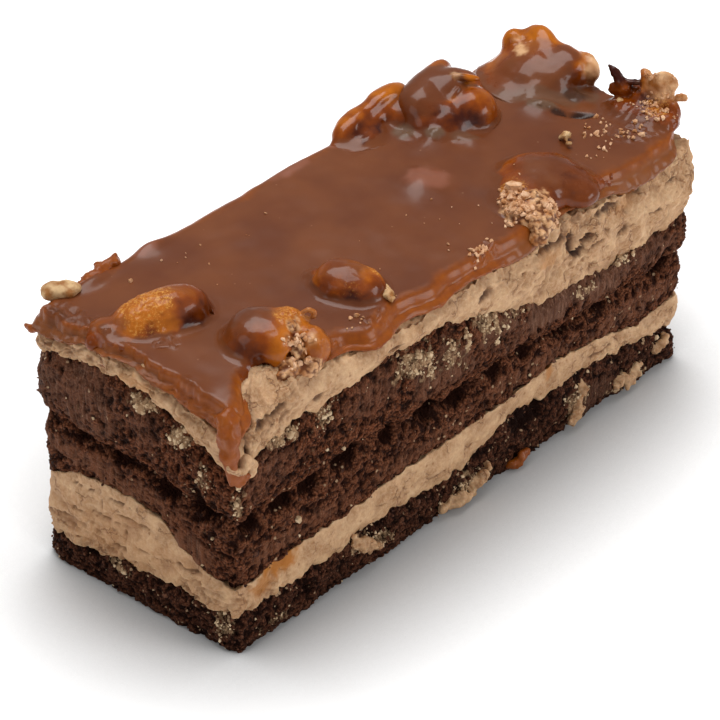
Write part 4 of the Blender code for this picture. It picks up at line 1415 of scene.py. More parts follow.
# Nut crumbs on the caramel: middle, spread along X and Y, how many, their size, heading of the spread.
TOP_CRUMBS = (
    (3.5, -18.2, 3.0, 1.2, 34, 0.32),
    (44.5, -9.6, 3.6, 3.2, 26, 0.30),
    (48.0, -14.0, 3.0, 2.0, 16, 0.34),
    (16.4, -12.8, 2.0, 2.2, 60, 0.42),
    (14.6, -16.6, 2.0, 2.4, 70, 0.42),
    (20.0, -19.0, 2.6, 1.6, 40, 0.34),
    (40.0, -13.6, 2.6, 1.6, 10, 0.26),
    (54.0, -13.6, 2.4, 3.4, 60, 0.27),
    (-38.6, -17.6, 2.6, 2.0, 40, 0.34),
    (-24.0, -17.6, 3.0, 1.2, 8, 0.28),
    (-32.0, 10.0, 14.0, 6.0, 12, 0.16),
    (8.0, -8.0, 20.0, 8.0, 14, 0.16),
)
CRUMB_FALL = 70.0  # they are dropped from this height
# Larger chips lying on the caramel: middle, half sizes, heading.
TOP_CHIPS = (
    ((-16.4, -16.2, 47.9), (2.1, 0.9, 0.7), 60.0),
    ((38.0, -7.0, 48.6), (1.1, 0.9, 0.7), 20.0),
    ((36.8, -8.8, 48.3), (0.7, 0.5, 0.4), 0.0),
    ((52.4, -7.4, 49.2), (0.8, 0.5, 0.5), 80.0),
)
CHIP_REACH = 2.6  # half of the grid that a chip is worked out on


def make_top_crumbs(materials):
    """Nut crumbs that fell on the caramel and stuck to the nuts, dropped from above."""
    draw = np.random.default_rng(31)
    bpy.context.view_layer.update()
    landing = [o for o in bpy.context.scene.objects if o.name.endswith(("_glazed", "_coat"))]
    places = []
    sizes = []
    for x, y, spread_x, spread_y, count, size in TOP_CRUMBS:
        for _ in range(count):
            start = Vector((draw.normal(x, spread_x / 2.0), draw.normal(y, spread_y / 2.0), CRUMB_FALL))
            above = (start - Vector((ORIGIN_X, ORIGIN_Y, 0.0))) * MM
            hits = [o.ray_cast(above, Vector((0.0, 0.0, -1.0))) for o in landing]
            heights = [place.z / MM for found, place, *rest in hits if found]
            if heights:
                places.append((start.x, start.y, max(heights) + 0.1))
                sizes.append(size * draw.lognormal(0.0, 0.4))
    make_crumbs("nut_crumbs", places, sizes, materials["nut_crumb"], "pale_nut", 32)


def make_chips(material):
    """Larger chips of nut on the caramel, as one mesh."""
    points_all = []
    faces_all = []
    count = 0
    for centre, halves, heading in TOP_CHIPS:
        low = np.array(centre) - CHIP_REACH
        field = field_points(low, np.array(centre) + CHIP_REACH, FINE_STEP)
        relief = 0.45 * lumps(field, 1.0, 33) + 0.2 * lumps(field, 0.55, 34)
        points, squares = skin(ball(field, centre, halves, heading) - relief, low, FINE_STEP)
        points_all.append(points)
        faces_all += (squares + count).tolist()
        count += len(points)
    obj = new_piece("nut_chips", np.concatenate(points_all), faces_all)
    finish_piece(obj, material, "pale_nut")


# -----------------------------------------------------------------------------
# Materials
# -----------------------------------------------------------------------------


def colour(hex_code):
    """The linear colour of an sRGB hex value."""
    channels = [int(hex_code[i : i + 2], 16) / 255.0 for i in (0, 2, 4)]
    linear = [c / 12.92 if c <= 0.04045 else ((c + 0.055) / 1.055) ** 2.4 for c in channels]
    return (*linear, 1.0)


def add(tree, kind, settings=None, links=None, out=0):
    """Adds a shader node with its settings and what feeds its inputs, and returns one of its outputs."""
    new = tree.nodes.new("ShaderNode" + kind)
    for key, value in (settings or {}).items():
        if isinstance(key, int) or key in new.inputs.keys():
            new.inputs[key].default_value = value
        else:
            setattr(new, key, value)
    for key, source in (links or {}).items():
        tree.links.new(source, new.inputs[key])
    return new.outputs[out]


def start_material(name, **settings):
    """A material with one Principled shader, set to the given values."""
    material = bpy.data.materials.new(name)
    material.use_nodes = True
    tree = material.node_tree
    shader = tree.nodes["Principled BSDF"]
    for key, value in settings.items():
        shader.inputs[key.replace("_", " ")].default_value = value
    place = add(tree, "TexCoord", out="Object")
    return material, tree, shader, place


def per(size_mm):
    """Scale of a pattern whose grain is this many millimetres."""
    return 1.0 / (size_mm * MM)


def finish_shader(tree, shader, body, rough, height, strength, depth_mm):
    """Feeds a shader its colour, its roughness and a relief finer than the mesh."""
    bump = add(tree, "Bump", {"Strength": strength, "Distance": depth_mm * MM}, {"Height": height})
    for name, source in (("Base Color", body), ("Roughness", rough), ("Normal", bump)):
        tree.links.new(source, shader.inputs[name])


def warp(tree, place, size_mm, reach_mm):
    """Places pushed about by noise, so that a pattern of cells gets irregular shapes."""
    noise = add(tree, "TexNoise", {"Scale": per(size_mm), "Detail": 2.0}, {"Vector": place}, "Color")
    reach = (reach_mm * MM,) * 3
    return add(tree, "VectorMath", {"operation": "MULTIPLY_ADD", 1: reach}, {0: noise, 2: place})


def sponge_material(name, deep, body_tone, top, knife_tone, dust):
    """Baked cocoa sponge, torn by the knife: matt granules with painted shade, near black, in the gaps
    between them and in its pits, the tops of the granules painted lighter as a painted sheen, and a greyer
    tone with painted highlights along the streaks where the knife pressed it, partly its own pressed tone.
    Dust is how many pale crumbs stick to it."""
    material, tree, shader, place = start_material(name, IOR=1.45, Specular_IOR_Level=0.06)
    bent = warp(tree, place, 0.45, 0.3)
    patches = add(tree, "TexNoise", {"Scale": per(3.0), "Detail": 3.0}, {"Vector": place})
    granules = add(tree, "TexVoronoi", {"Scale": per(0.42)}, {"Vector": bent})
    grit = add(tree, "TexNoise", {"Scale": per(0.36), "Detail": 3.0, "Roughness": 0.7}, {"Vector": place})
    depth, pressed, dragged = (
        add(tree, "Attribute", {"attribute_name": mark}, out="Fac") for mark in ("depth", "pressed", "cream")
    )
    tone = add(tree, "MapRange", {"From Min": 0.42, "From Max": 0.68}, {"Value": grit})
    body = add(tree, "MixRGB", {"Color1": colour(body_tone), "Color2": colour(top)}, {"Fac": tone})
    # painted sheen: where the depth is low, the tops of the granules are painted lighter
    tops = add(tree, "MapRange", {"From Min": 0.45, "From Max": 0.05, "To Max": 0.6}, {"Value": depth})
    body = add(tree, "MixRGB", {"Color2": colour(top)}, {"Fac": tops, "Color1": body})
    wide = add(tree, "MapRange", {"From Min": 0.5, "From Max": 0.3, "To Max": 0.45}, {"Value": patches})
    body = add(tree, "MixRGB", {"Color2": colour(deep)}, {"Fac": wide, "Color1": body})
    # where the knife pressed, a greyer tone, partly the pressed crumb's own and partly a painted sheen
    pressed_tone_and_sheen = add(tree, "Math", {"operation": "MULTIPLY", 1: 0.75}, {0: pressed})
    body = add(tree, "MixRGB", {"Color2": colour(knife_tone)}, {"Fac": pressed_tone_and_sheen, "Color1": body})
    # pale streaks of the knife on pressed places, partly a painted highlight
    upright = add(tree, "VectorMath", {"operation": "MULTIPLY", 1: (1.0, 1.0, 0.07)}, {0: place})
    streaks = add(tree, "TexNoise", {"Scale": per(0.4), "Detail": 3.0, "Roughness": 0.6}, {"Vector": upright})
    streaks = add(tree, "MapRange", {"From Min": 0.5, "From Max": 0.66, "To Max": 0.55}, {"Value": streaks})
    streaks = add(tree, "Math", {"operation": "MULTIPLY", "use_clamp": True}, {0: streaks, 1: pressed})
    body = add(tree, "MixRGB", {"Color2": colour("8C6854")}, {"Fac": streaks, "Color1": body})
    # painted shade: deep places are painted towards the deep tone
    pits = add(tree, "MapRange", {"From Min": 0.46, "From Max": 0.95, "To Max": 0.95}, {"Value": depth})
    body = add(tree, "MixRGB", {"Color2": colour(deep)}, {"Fac": pits, "Color1": body})
    # painted shade: the gaps between the granules are painted near black, less where the knife pressed
    gaps = add(tree, "MapRange", {"From Min": 0.42, "From Max": 0.8, "To Max": 0.8}, {"Value": granules})
    open_gaps = add(tree, "Math", {"operation": "SUBTRACT", 0: 1.0, "use_clamp": True}, {1: pressed})
    gaps = add(tree, "Math", {"operation": "MULTIPLY"}, {0: gaps, 1: open_gaps})
    body = add(tree, "MixRGB", {"Color2": colour(deep)}, {"Fac": gaps, "Color1": body})
    crumbs = add(tree, "TexVoronoi", {"Scale": per(0.9)}, {"Vector": bent}, "Color")
    edges = add(tree, "TexVoronoi", {"Scale": per(0.9)}, {"Vector": bent})
    field = add(tree, "TexNoise", {"Scale": per(5.0), "Detail": 2.0}, {"Vector": place})
    stuck = add(tree, "Math", {"operation": "MULTIPLY_ADD", 1: 0.7}, {0: field, 2: crumbs})
    stuck = add(tree, "MapRange", {"From Min": 1.22 - dust, "From Max": 1.25 - dust}, {"Value": stuck})
    small = add(tree, "MapRange", {"From Min": 0.34, "From Max": 0.26}, {"Value": edges})
    stuck = add(tree, "Math", {"operation": "MULTIPLY"}, {0: stuck, 1: small})
    body = add(tree, "MixRGB", {"Color2": colour("A98A6C")}, {"Fac": stuck, "Color1": body})
    drawn_out = add(tree, "VectorMath", {"operation": "MULTIPLY", 1: (1.0, 1.0, 0.45)}, {0: place})
    torn_film = {"Scale": per(0.9), "Detail": 4.0, "Roughness": 0.75}
    scraps = add(tree, "TexNoise", torn_film, {"Vector": drawn_out})
    film = add(tree, "Math", {"operation": "MULTIPLY_ADD", 1: 2.4}, {0: scraps, 2: dragged})
    film = add(tree, "MapRange", {"From Min": 1.55, "From Max": 2.0, "To Max": 0.85}, {"Value": film})
    body = add(tree, "MixRGB", {"Color2": colour("B3916E")}, {"Fac": film, "Color1": body})
    rough = add(tree, "MapRange", {"To Min": 0.38, "To Max": 0.8}, {"Value": grit})
    height = add(tree, "Math", {"operation": "MULTIPLY_ADD", 1: -0.8}, {0: granules, 2: grit})
    height = add(tree, "Math", {"operation": "ADD"}, {0: height, 1: film})
    finish_shader(tree, shader, body, rough, height, 1.0, 0.3)
    return material


def cream_material():
    """Whipped nut buttercream, spread with a palette knife: matt and soft, with fine curds whose raised tops
    are painted paler as a painted highlight, painted shade in its hollows and cracks, and a few brown specks
    of ground nut."""
    material, tree, shader, place = start_material(
        "spread_nut_buttercream", IOR=1.46, Specular_IOR_Level=0.35, Subsurface_Weight=0.18,
        Subsurface_Scale=1.2 * MM, Subsurface_Radius=(1.0, 0.62, 0.36),
    )
    curds = add(tree, "TexNoise", {"Scale": per(0.55), "Detail": 4.0, "Roughness": 0.7}, {"Vector": place})
    patches = add(tree, "TexNoise", {"Scale": per(3.2), "Detail": 4.0}, {"Vector": place})
    depth, amber, crack = (
        add(tree, "Attribute", {"attribute_name": mark}, out="Fac") for mark in ("depth", "amber", "crack")
    )
    tone = add(tree, "MapRange", {"From Min": 0.35, "From Max": 0.65}, {"Value": patches})
    body = add(tree, "MixRGB", {"Color1": colour("A0744C"), "Color2": colour("C29A72")}, {"Fac": tone})
    # painted highlight: the curds that the bump raises are painted paler
    fine = add(tree, "MapRange", {"From Min": 0.4, "From Max": 0.72, "To Max": 0.4}, {"Value": curds})
    body = add(tree, "MixRGB", {"Color2": colour("E4C6A2")}, {"Fac": fine, "Color1": body})
    # painted shade: deep places are painted darker brown
    pits = add(tree, "MapRange", {"From Min": 0.42, "From Max": 1.0, "To Max": 0.75}, {"Value": depth})
    body = add(tree, "MixRGB", {"Color2": colour("7E5536")}, {"Fac": pits, "Color1": body})
    # painted shade: cracks are painted dark brown, and their deepest holes near black
    split = add(tree, "MapRange", {"From Min": 0.15, "From Max": 0.8, "To Max": 0.9}, {"Value": crack})
    body = add(tree, "MixRGB", {"Color2": colour("4A2A18")}, {"Fac": split, "Color1": body})
    hollow = add(tree, "MapRange", {"From Min": 0.9, "From Max": 1.8, "To Max": 0.95}, {"Value": crack})
    body = add(tree, "MixRGB", {"Color2": colour("1C0E07")}, {"Fac": hollow, "Color1": body})
    # a net of fine cracks on the drier patches, its grooves painted dark as painted shade
    bent = warp(tree, place, 1.1, 1.8)
    net = add(tree, "TexVoronoi", {"feature": "DISTANCE_TO_EDGE", "Scale": per(4.6)}, {"Vector": bent})
    net = add(tree, "MapRange", {"From Min": 0.03, "From Max": 0.008}, {"Value": net})
    dry = add(tree, "MapRange", {"From Min": 0.52, "From Max": 0.42, "To Max": 0.6}, {"Value": patches})
    net = add(tree, "Math", {"operation": "MULTIPLY"}, {0: net, 1: dry})
    body = add(tree, "MixRGB", {"Color2": colour("6E4429")}, {"Fac": net, "Color1": body})
    sugar = add(tree, "Math", {"operation": "MULTIPLY", 1: 0.85, "use_clamp": True}, {0: amber})
    body = add(tree, "MixRGB", {"Color2": colour("A5651F")}, {"Fac": sugar, "Color1": body})
    nut = add(tree, "TexVoronoi", {"Scale": per(2.1)}, {"Vector": place})
    nut = add(tree, "MapRange", {"From Min": 0.16, "From Max": 0.08, "To Max": 0.7}, {"Value": nut})
    body = add(tree, "MixRGB", {"Color2": colour("8A5A33")}, {"Fac": nut, "Color1": body})
    rough = add(tree, "MapRange", {"To Min": 0.5, "To Max": 0.75}, {"Value": curds})
    height = add(tree, "Math", {"operation": "MULTIPLY_ADD", 1: -1.5}, {0: net, 2: curds})
    finish_shader(tree, shader, body, rough, height, 0.7, 0.2)
    return material


def milk_tone(tree, place):
    """The brown of milk caramel where it is thick, slightly cloudy."""
    patches = add(tree, "TexNoise", {"Scale": per(11.0), "Detail": 3.0}, {"Vector": place})
    tone = add(tree, "MapRange", {"From Min": 0.35, "From Max": 0.65}, {"Value": patches})
    return add(tree, "MixRGB", {"Color1": colour("613117"), "Color2": colour("6F3C1D")}, {"Fac": tone})


def stain_tones(tree, body):
    """Painted patches of the poured caramel: a pink-brown painted highlight, a grey-brown painted reflection,
    and dark painted shade.
    """
    for mark, tone, share in (("pink", "84503C", 0.85), ("glassy", "634A38", 0.9), ("dark", "1E0A04", 0.9)):
        stain = add(tree, "Attribute", {"attribute_name": mark}, out="Fac")
        stain = add(tree, "Math", {"operation": "MULTIPLY", 1: share}, {0: stain})
        body = add(tree, "MixRGB", {"Color2": colour(tone)}, {"Fac": stain, "Color1": body})
    return body


def caramel_material():
    """Milk chocolate caramel, poured and set: an even satin gloss, brown where it is thick and amber
    where it thins out at its rolled edge, with a duller pink-brown lip."""
    material, tree, shader, place = start_material(
        "poured_milk_caramel", IOR=1.47, Specular_IOR_Level=0.2, Subsurface_Weight=0.05,
        Subsurface_Scale=1.5 * MM, Subsurface_Radius=(1.0, 0.4, 0.18), Coat_Weight=0.15, Coat_Roughness=0.12,
    )
    fine = add(tree, "TexNoise", {"Scale": per(1.4), "Detail": 4.0}, {"Vector": place})
    thin, torn, lip = (
        add(tree, "Attribute", {"attribute_name": mark}, out="Fac") for mark in ("thin", "torn", "lip")
    )
    body = milk_tone(tree, place)
    ragged = add(tree, "Math", {"operation": "MULTIPLY_ADD", 1: 0.5, 2: -0.25}, {0: fine})
    rim = add(tree, "Math", {"operation": "ADD"}, {0: thin, 1: ragged})
    rim = add(tree, "MapRange", {"From Min": 0.25, "From Max": 0.9, "To Max": 0.95}, {"Value": rim})
    amber = add(tree, "MixRGB", {"Color1": colour("743004"), "Color2": colour("98500A")}, {"Fac": fine})
    body = add(tree, "MixRGB", {}, {"Fac": rim, "Color1": body, "Color2": amber})
    dull = add(tree, "Math", {"operation": "MULTIPLY", 1: 0.7}, {0: lip})
    body = add(tree, "MixRGB", {"Color2": colour("74421F")}, {"Fac": dull, "Color1": body})
    # painted highlight, painted reflection and painted shade patches
    body = stain_tones(tree, body)
    flecks = add(tree, "TexVoronoi", {"Scale": per(3.4)}, {"Vector": place})
    flecks = add(tree, "MapRange", {"From Min": 0.06, "From Max": 0.03, "To Max": 0.4}, {"Value": flecks})
    body = add(tree, "MixRGB", {"Color2": colour("A37A5E")}, {"Fac": flecks, "Color1": body})
    rough = add(tree, "MapRange", {"To Min": 0.28, "To Max": 0.40}, {"Value": fine})
    rough = add(tree, "MixRGB", {"Color2": (0.46, 0.46, 0.46, 1.0)}, {"Fac": torn, "Color1": rough})
    grain = add(tree, "TexNoise", {"Scale": per(0.9), "Detail": 4.0, "Roughness": 0.7}, {"Vector": place})
    grain = add(tree, "Math", {"operation": "MULTIPLY"}, {0: grain, 1: torn})
    grain = add(tree, "Math", {"operation": "MULTIPLY", 1: 2.0}, {0: grain})
    height = add(tree, "Math", {"operation": "MULTIPLY_ADD", 1: 0.2}, {0: fine, 2: grain})
    finish_shader(tree, shader, body, rough, height, 0.5, 0.18)
    return material


def glazed_nut_material():
    """Roasted nuts under cooked sugar: a clear wet gloss over amber that runs to dark red-brown, partly the
    sugar's own tone and partly painted light and shade, lighter on the tops and darker on the undersides,
    milk caramel where it has run up, rough and paler where grains of nut break through, and beige crumb where
    the nut is broken, with painted shade in the gaps between its crumbs."""
    material, tree, shader, place = start_material(
        "nut_under_cooked_sugar", IOR=1.49, Specular_IOR_Level=0.15, Coat_Weight=0.25, Coat_Roughness=0.06
    )
    bright, milk, core, grain, gap = (
        add(tree, "Attribute", {"attribute_name": mark}, out="Fac")
        for mark in ("bright", "milk", "core", "grain", "gap")
    )
    cloud = add(tree, "TexNoise", {"Scale": per(2.2), "Detail": 4.0}, {"Vector": place})
    fine = add(tree, "TexNoise", {"Scale": per(0.4), "Detail": 4.0, "Roughness": 0.7}, {"Vector": place})
    # shade: the bright mark, partly the sugar's own tone and partly painted light and shade, with a random
    # cloud
    shade = add(tree, "Math", {"operation": "MULTIPLY_ADD", 1: 0.7, 2: -0.35}, {0: cloud})
    shade = add(tree, "Math", {"operation": "ADD", "use_clamp": True}, {0: bright, 1: shade})
    low = add(tree, "MapRange", {"From Min": 0.0, "From Max": 0.5}, {"Value": shade})
    high = add(tree, "MapRange", {"From Min": 0.5, "From Max": 1.0}, {"Value": shade})
    body = add(tree, "MixRGB", {"Color1": colour("3A1003"), "Color2": colour("7E3805")}, {"Fac": low})
    body = add(tree, "MixRGB", {"Color2": colour("AE5F0B")}, {"Fac": high, "Color1": body})
    grains = add(tree, "Math", {"operation": "MULTIPLY"}, {0: grain, 1: fine})
    grains = add(tree, "MapRange", {"From Min": 0.46, "From Max": 0.6, "To Max": 0.85}, {"Value": grains})
    body = add(tree, "MixRGB", {"Color2": colour("CC8E40")}, {"Fac": grains, "Color1": body})
    run = add(tree, "Math", {"operation": "MULTIPLY_ADD", 1: 0.5, 2: -0.25}, {0: cloud})
    run = add(tree, "Math", {"operation": "ADD", "use_clamp": True}, {0: run, 1: milk})
    run = add(tree, "MapRange", {"From Min": 0.2, "From Max": 0.8}, {"Value": run})
    body = add(tree, "MixRGB", {}, {"Fac": run, "Color1": body, "Color2": milk_tone(tree, place)})
    # the caramel's painted reflection and painted shade patches, where they reach the nut's foot
    body = stain_tones(tree, body)
    tint = add(tree, "MapRange", {"From Min": 0.35, "From Max": 0.65}, {"Value": cloud})
    crumb = add(tree, "MixRGB", {"Color1": colour("A0622E"), "Color2": colour("DCAE80")}, {"Fac": tint})
    # painted shade: the gaps between the crumbs are painted dark
    crumb = add(tree, "MixRGB", {"Color2": colour("5E2E0C")}, {"Fac": gap, "Color1": crumb})
    body = add(tree, "MixRGB", {}, {"Fac": core, "Color1": body, "Color2": crumb})
    dull = add(tree, "Math", {"operation": "MAXIMUM"}, {0: core, 1: grain})
    rough = add(tree, "MapRange", {"To Min": 0.2, "To Max": 0.6}, {"Value": dull})
    rough = add(tree, "MixRGB", {"Color2": (0.34, 0.34, 0.34, 1.0)}, {"Fac": run, "Color1": rough})
    height = add(tree, "Math", {"operation": "MULTIPLY"}, {0: fine, 1: dull})
    finish_shader(tree, shader, body, rough, height, 0.7, 0.2)
    return material


def pale_nut_material():
    """Roasted hazelnut without its skin: matt beige with toasted patches."""
    material, tree, shader, place = start_material(
        "toasted_bare_nut", IOR=1.47, Specular_IOR_Level=0.3, Subsurface_Weight=0.1,
        Subsurface_Scale=1.0 * MM, Subsurface_Radius=(1.0, 0.7, 0.4),
    )
    cloud = add(tree, "TexNoise", {"Scale": per(1.6), "Detail": 4.0}, {"Vector": place})
    tone = add(tree, "MapRange", {"From Min": 0.38, "From Max": 0.62}, {"Value": cloud})
    body = add(tree, "MixRGB", {"Color1": colour("94602E"), "Color2": colour("C9A679")}, {"Fac": tone})
    rough = add(tree, "MapRange", {"To Min": 0.45, "To Max": 0.7}, {"Value": cloud})
    fine = add(tree, "TexNoise", {"Scale": per(0.4), "Detail": 3.0}, {"Vector": place})
    finish_shader(tree, shader, body, rough, fine, 0.5, 0.12)
    return material


def crumb_material(name, dark, light, roughness):
    """Crumbs, each a little lighter or darker than the next."""
    material, tree, shader, place = start_material(
        name, IOR=1.46, Specular_IOR_Level=0.25, Roughness=roughness
    )
    cloud = add(tree, "TexNoise", {"Scale": per(1.3), "Detail": 3.0}, {"Vector": place})
    tone = add(tree, "MapRange", {"From Min": 0.35, "From Max": 0.65}, {"Value": cloud})
    body = add(tree, "MixRGB", {"Color1": colour(dark), "Color2": colour(light)}, {"Fac": tone})
    tree.links.new(body, shader.inputs["Base Color"])
    return material


# -----------------------------------------------------------------------------
# Stage
# -----------------------------------------------------------------------------

# The camera, found from the slice's corners in the photograph: degrees and millimetres.
CAMERA_AZIMUTH = -47.57
CAMERA_ELEVATION = 36.295
CAMERA_ROLL = 0.85
CAMERA_DISTANCE = 466.2
CAMERA_AIM = (-7.57, -2.64, 24.0)
CAMERA_LENS = 141.26
SENSOR_WIDTH = 36.0

FLOOR_HALF = 1.5  # metres
SURROUND_STRENGTH = 0.36
LIGHT_AIM = (0.0, 0.0, 30.0)
# Soft boxes: place, size, power.
SOFT_BOXES = {
    "soft_box_above": ((60.0, 160.0, 650.0), (520.0, 420.0), 3.75),
    "soft_box_left": ((-560.0, 60.0, 380.0), (300.0, 300.0), 0.4),
    "soft_box_front": ((260.0, -560.0, 320.0), (300.0, 300.0), 1.6),
}


def make_camera():
    """The camera, turned as in the photograph."""
    data = bpy.data.cameras.new("camera")
    data.lens = CAMERA_LENS
    data.sensor_width = SENSOR_WIDTH
    data.clip_start = 0.01
    camera = bpy.data.objects.new("camera", data)
    bpy.context.scene.collection.objects.link(camera)
    azimuth = math.radians(CAMERA_AZIMUTH)
    elevation = math.radians(CAMERA_ELEVATION)
    back = Vector((
        math.sin(azimuth) * math.cos(elevation),
        -math.cos(azimuth) * math.cos(elevation),
        math.sin(elevation),
    ))
    right = Vector((0.0, 0.0, 1.0)).cross(back).normalized()
    up = back.cross(right)
    roll = math.radians(CAMERA_ROLL)
    turned_right = right * math.cos(roll) + up * math.sin(roll)
    turned_up = back.cross(turned_right)
    turn = Matrix((turned_right, turned_up, back)).transposed().to_4x4()
    camera.matrix_world = Matrix.Translation((Vector(CAMERA_AIM) + back * CAMERA_DISTANCE) * MM) @ turn
    bpy.context.scene.camera = camera


def add_light(name, place, size, power):
    """A square soft light at a place in millimetres, aimed at the slice."""
    data = bpy.data.lights.new(name, "AREA")
    data.shape = "RECTANGLE"
    data.size, data.size_y = (side * MM for side in size)
    data.energy = power
    light = bpy.data.objects.new(name, data)
    bpy.context.scene.collection.objects.link(light)
    light.location = Vector(place) * MM
    aim = Vector(LIGHT_AIM) * MM - light.location
    light.rotation_euler = aim.to_track_quat("-Z", "Y").to_euler()


def make_stage():
    """A white floor with a painted contact shadow close to the slice, soft studio lights and an even pale
    surround.
    """
    mesh = bpy.data.meshes.new("pale_floor")
    corners = [(x * FLOOR_HALF, y * FLOOR_HALF, 0.0) for x, y in ((-1, -1), (1, -1), (1, 1), (-1, 1))]
    mesh.from_pydata(corners, [], [(0, 1, 2, 3)])
    floor = bpy.data.objects.new("pale_floor", mesh)
    bpy.context.scene.collection.objects.link(floor)
    material, tree, shader, place = start_material("pale_floor", Roughness=0.9, Specular_IOR_Level=0.0)
    # painted shadow: the floor's colour darkens with ambient occlusion close to the slice
    open_sky = add(tree, "AmbientOcclusion", {"Distance": 60.0 * MM, "samples": 16}, out="AO")
    tone = add(tree, "MapRange", {"From Min": 0.45, "From Max": 0.95, "To Min": 0.42}, {"Value": open_sky})
    tree.links.new(tone, shader.inputs["Base Color"])
    # the floor also glows, though it is no lamp, and its glow fades close to the slice as part of the painted
    # shadow
    shine = add(tree, "Math", {"operation": "POWER", 1: 3.0}, {0: tone})
    shine = add(tree, "Math", {"operation": "MULTIPLY", 1: 0.25}, {0: shine})
    shader.inputs["Emission Color"].default_value = colour("FFFFFF")
    tree.links.new(shine, shader.inputs["Emission Strength"])
    mesh.materials.append(material)
    world = bpy.data.worlds.new("surround")
    bpy.context.scene.world = world
    world.use_nodes = True
    background = world.node_tree.nodes["Background"]
    background.inputs["Color"].default_value = colour("FFFFFF")
    background.inputs["Strength"].default_value = SURROUND_STRENGTH
    for name, (light_place, size, power) in SOFT_BOXES.items():
        add_light(name, light_place, size, power)
    bpy.context.scene.view_settings.view_transform = "Standard"


# -----------------------------------------------------------------------------
# Making it all
# -----------------------------------------------------------------------------


# Spots on the back and the right end: seed, lowest and highest, how many, size, strength.
UNSEEN_HOLES = (5, 21.0, 28.0, 16, 2.0, 1.5)
UNSEEN_KNIFED = (6, 8.0, 40.0, 14, 7.0, 0.8)
UNSEEN_CREAM = (7, 3.0, 38.0, 16, 2.6, 0.7)


def make_layers(materials):
    """The sponges and creams. Their back and right end, which the photograph hides, get like holes,
    pressed places and smears."""
    holes = (*HOLES, *unseen_spots(*UNSEEN_HOLES))
    knifed = (*KNIFED, *unseen_spots(*UNSEEN_KNIFED))
    smears = (*SMEARED_CREAM, *unseen_spots(*UNSEEN_CREAM))

    def sponge(side):
        return sponge_side(side, holes, knifed, smears)

    def lower(side):
        return cream_side(side, LOWER_WRINKLE, LOWER_FLAKY, LOWER_CRACKS)

    def upper(side):
        return cream_side(side, UPPER_WRINKLE, UPPER_FLAKY, UPPER_CRACKS)

    # Node, rows of points from seam to seam, relief, material, slot.
    plan = (
        ("base_sponge", 34, sponge, materials["base"], "dark_sponge"),
        ("lower_cream", 30, lower, materials["cream"], "cream"),
        ("middle_sponge", 44, sponge, materials["middle"], "brown_sponge"),
        ("upper_sponge", 58, sponge, materials["sponge"], "brown_sponge"),
        ("upper_cream", 34, upper, materials["cream"], "cream"),
    )
    for name, rows, relief_of, material, slot in plan:
        finish_piece(make_layer(name, rows, relief_of), material, slot, name)


# What ran down or was dragged along: the points of its route, its radius at each of them, how knobbly it is.
CARAMEL_RUNS = {
    "caramel_drip": (
        ((-54.2, -18.8, 45.4), (-55.6, -20.2, 43.8), (-56.2, -20.8, 41.0), (-56.0, -20.9, 38.2),
         (-54.8, -21.3, 35.8), (-53.4, -21.4, 35.4)),
        (1.9, 1.8, 1.5, 1.2, 1.2, 1.0), 0.5,
    ),
    "caramel_tail": (
        ((-56.6, 16.6, 46.4), (-57.6, 18.6, 45.4), (-58.2, 20.2, 44.8), (-58.2, 21.6, 44.9)),
        (1.3, 0.8, 0.6, 0.4), 0.3,
    ),
    "caramel_back_strip": (
        ((-49.8, 18.6, 48.2), (-46.5, 19.2, 48.8), (-42.9, 19.8, 48.9), (-40.4, 20.0, 48.7)),
        (0.9, 1.2, 1.3, 1.0), 0.6,
    ),
    "caramel_scrap": (((10.4, -21.0, 1.5), (12.0, -21.3, 1.5), (13.8, -21.0, 2.4)), (0.8, 1.0, 0.7), 0.9),
}
CREAM_RUNS = {
    "cream_curl": (
        ((-56.8, -20.9, 41.6), (-56.5, -21.3, 39.0), (-55.4, -21.5, 37.6), (-54.0, -21.5, 37.4),
         (-53.2, -21.5, 38.8), (-51.9, -21.5, 37.2), (-52.6, -21.4, 35.6)),
        (0.5, 0.8, 0.8, 0.8, 0.9, 0.9, 0.7), 0.3,
    ),
    "cream_scrap_left": (((-56.9, 16.0, 7.2), (-57.1, 13.4, 6.2), (-56.8, 11.4, 6.6)), (1.0, 1.2, 0.7), 1.0),
    "cream_scrap_near": (
        ((-28.2, -20.7, 7.6), (-26.0, -21.0, 5.8), (-23.4, -21.0, 4.2)), (1.1, 1.3, 1.0), 1.2,
    ),
    "cream_scrap_foot": (((-7.4, -20.8, 1.7), (-3.6, -21.1, 1.9), (-0.6, -21.0, 2.4)), (0.8, 1.3, 1.0), 1.2),
    "cream_scrap_by_foot": (((0.0, -21.0, 3.0), (2.4, -21.1, 3.4), (3.6, -20.9, 4.8)), (1.2, 1.5, 0.9), 1.3),
    "cream_scrap_hanging": (
        ((29.2, -20.7, 7.8), (28.4, -20.9, 5.0), (27.0, -21.1, 2.6)), (1.0, 1.3, 1.3), 1.2,
    ),
    "cream_scrap_low": (((38.6, -20.8, 3.6), (41.4, -20.9, 2.6), (45.2, -20.8, 3.4)), (0.8, 1.3, 0.8), 1.0),
    "cream_scrap_far": (((50.2, -20.6, 4.8), (52.8, -20.5, 5.4)), (0.9, 0.8), 1.0),
}


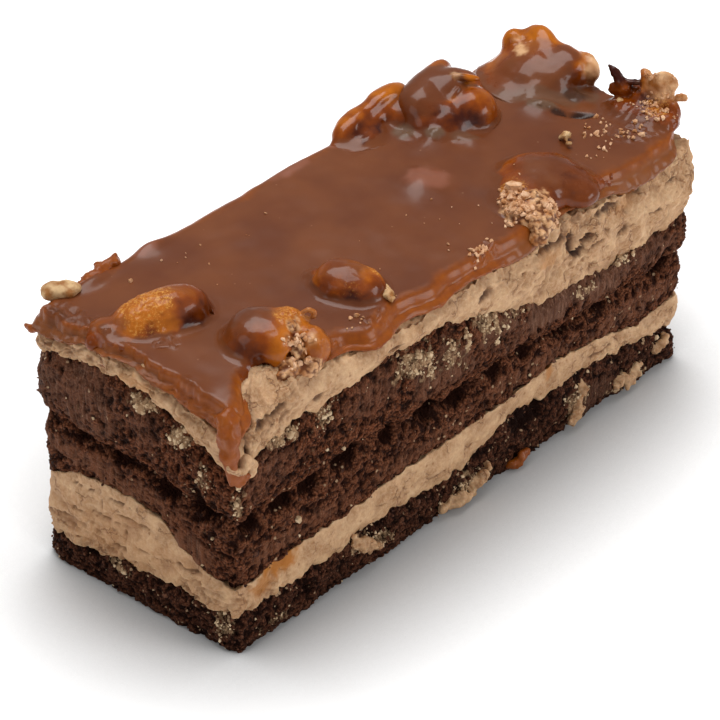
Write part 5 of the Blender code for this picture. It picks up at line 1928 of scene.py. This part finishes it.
def run_skin(route, radii, knobs):
    """Points and squares of a knobbly strand."""
    spare = max(radii) + knobs + 0.6
    low = np.min(route, axis=0) - spare
    field = field_points(low, np.max(route, axis=0) + spare, NUT_STEP)
    coarse = crumb_distance(field, 1.5, 92)
    fine = crumb_distance(field, 0.8, 93)
    rough = 0.8 * lumps(field, 2.0, 91) + 0.9 * (0.45 - coarse) + 0.5 * (0.45 - fine)
    body = strand(field, route, radii) - knobs * rough
    return skin(body, low, NUT_STEP)


def make_runs(materials):
    """The caramel that ran down the near corner, the tail dragged out at the far one, and scraps of caramel
    and cream stuck to the sides."""
    for name, run in CARAMEL_RUNS.items():
        points, squares = run_skin(*run)
        marks = {"thin": np.ones(len(points)), "torn": np.full(len(points), 0.7)}
        obj = new_piece(name, points, squares.tolist(), marks)
        finish_piece(obj, materials["caramel"], "caramel")
    for name, run in CREAM_RUNS.items():
        points, squares = run_skin(*run)
        # depth: where the cream's material paints shade, here in random patches
        depth = 0.25 + 0.5 * np.clip(lumps(points, 0.9, 94), 0.0, 1.0)
        obj = new_piece(name, points, squares.tolist(), {"depth": depth})
        finish_piece(obj, materials["cream"], "cream")


def main():
    """Makes every piece, then the stage."""
    # Sponges: name, deep tone (painted shade in pits and gaps, and darker patches), body tone, tone of the
    # granule tops (lighter grit, and a painted sheen), where the knife pressed (its own tone, partly a
    # painted sheen), share of dust.
    materials = {
        "base": sponge_material("dark_cocoa_sponge", "140502", "462214", "744C38", "4E3428", 0.12),
        "sponge": sponge_material("brown_cocoa_sponge", "160501", "60301A", "905C40", "5E3F30", 0.02),
        "middle": sponge_material("reddish_cocoa_sponge", "1C0702", "62341E", "8C5A40", "6E4530", 0.02),
        "cream": cream_material(),
        "caramel": caramel_material(),
        "nut": glazed_nut_material(),
        "pale": pale_nut_material(),
        "cream_crumb": crumb_material("dried_cream_crumbs", "B59673", "DCC3A0", 0.75),
        "sponge_crumb": crumb_material("sponge_crumbs", "2C120A", "6E4632", 0.8),
        "nut_crumb": crumb_material("sugared_nut_crumbs", "B47B4C", "E0B793", 0.4),
    }
    make_layers(materials)
    make_caramel(materials["caramel"])
    make_runs(materials)
    for name, nut in NUTS.items():
        make_nut(name, nut, materials["nut"])
    make_bare_nut(materials["pale"])
    make_side_crumbs(materials)
    make_top_crumbs(materials)
    make_chips(materials["pale"])
    make_stage()
    make_camera()


main()
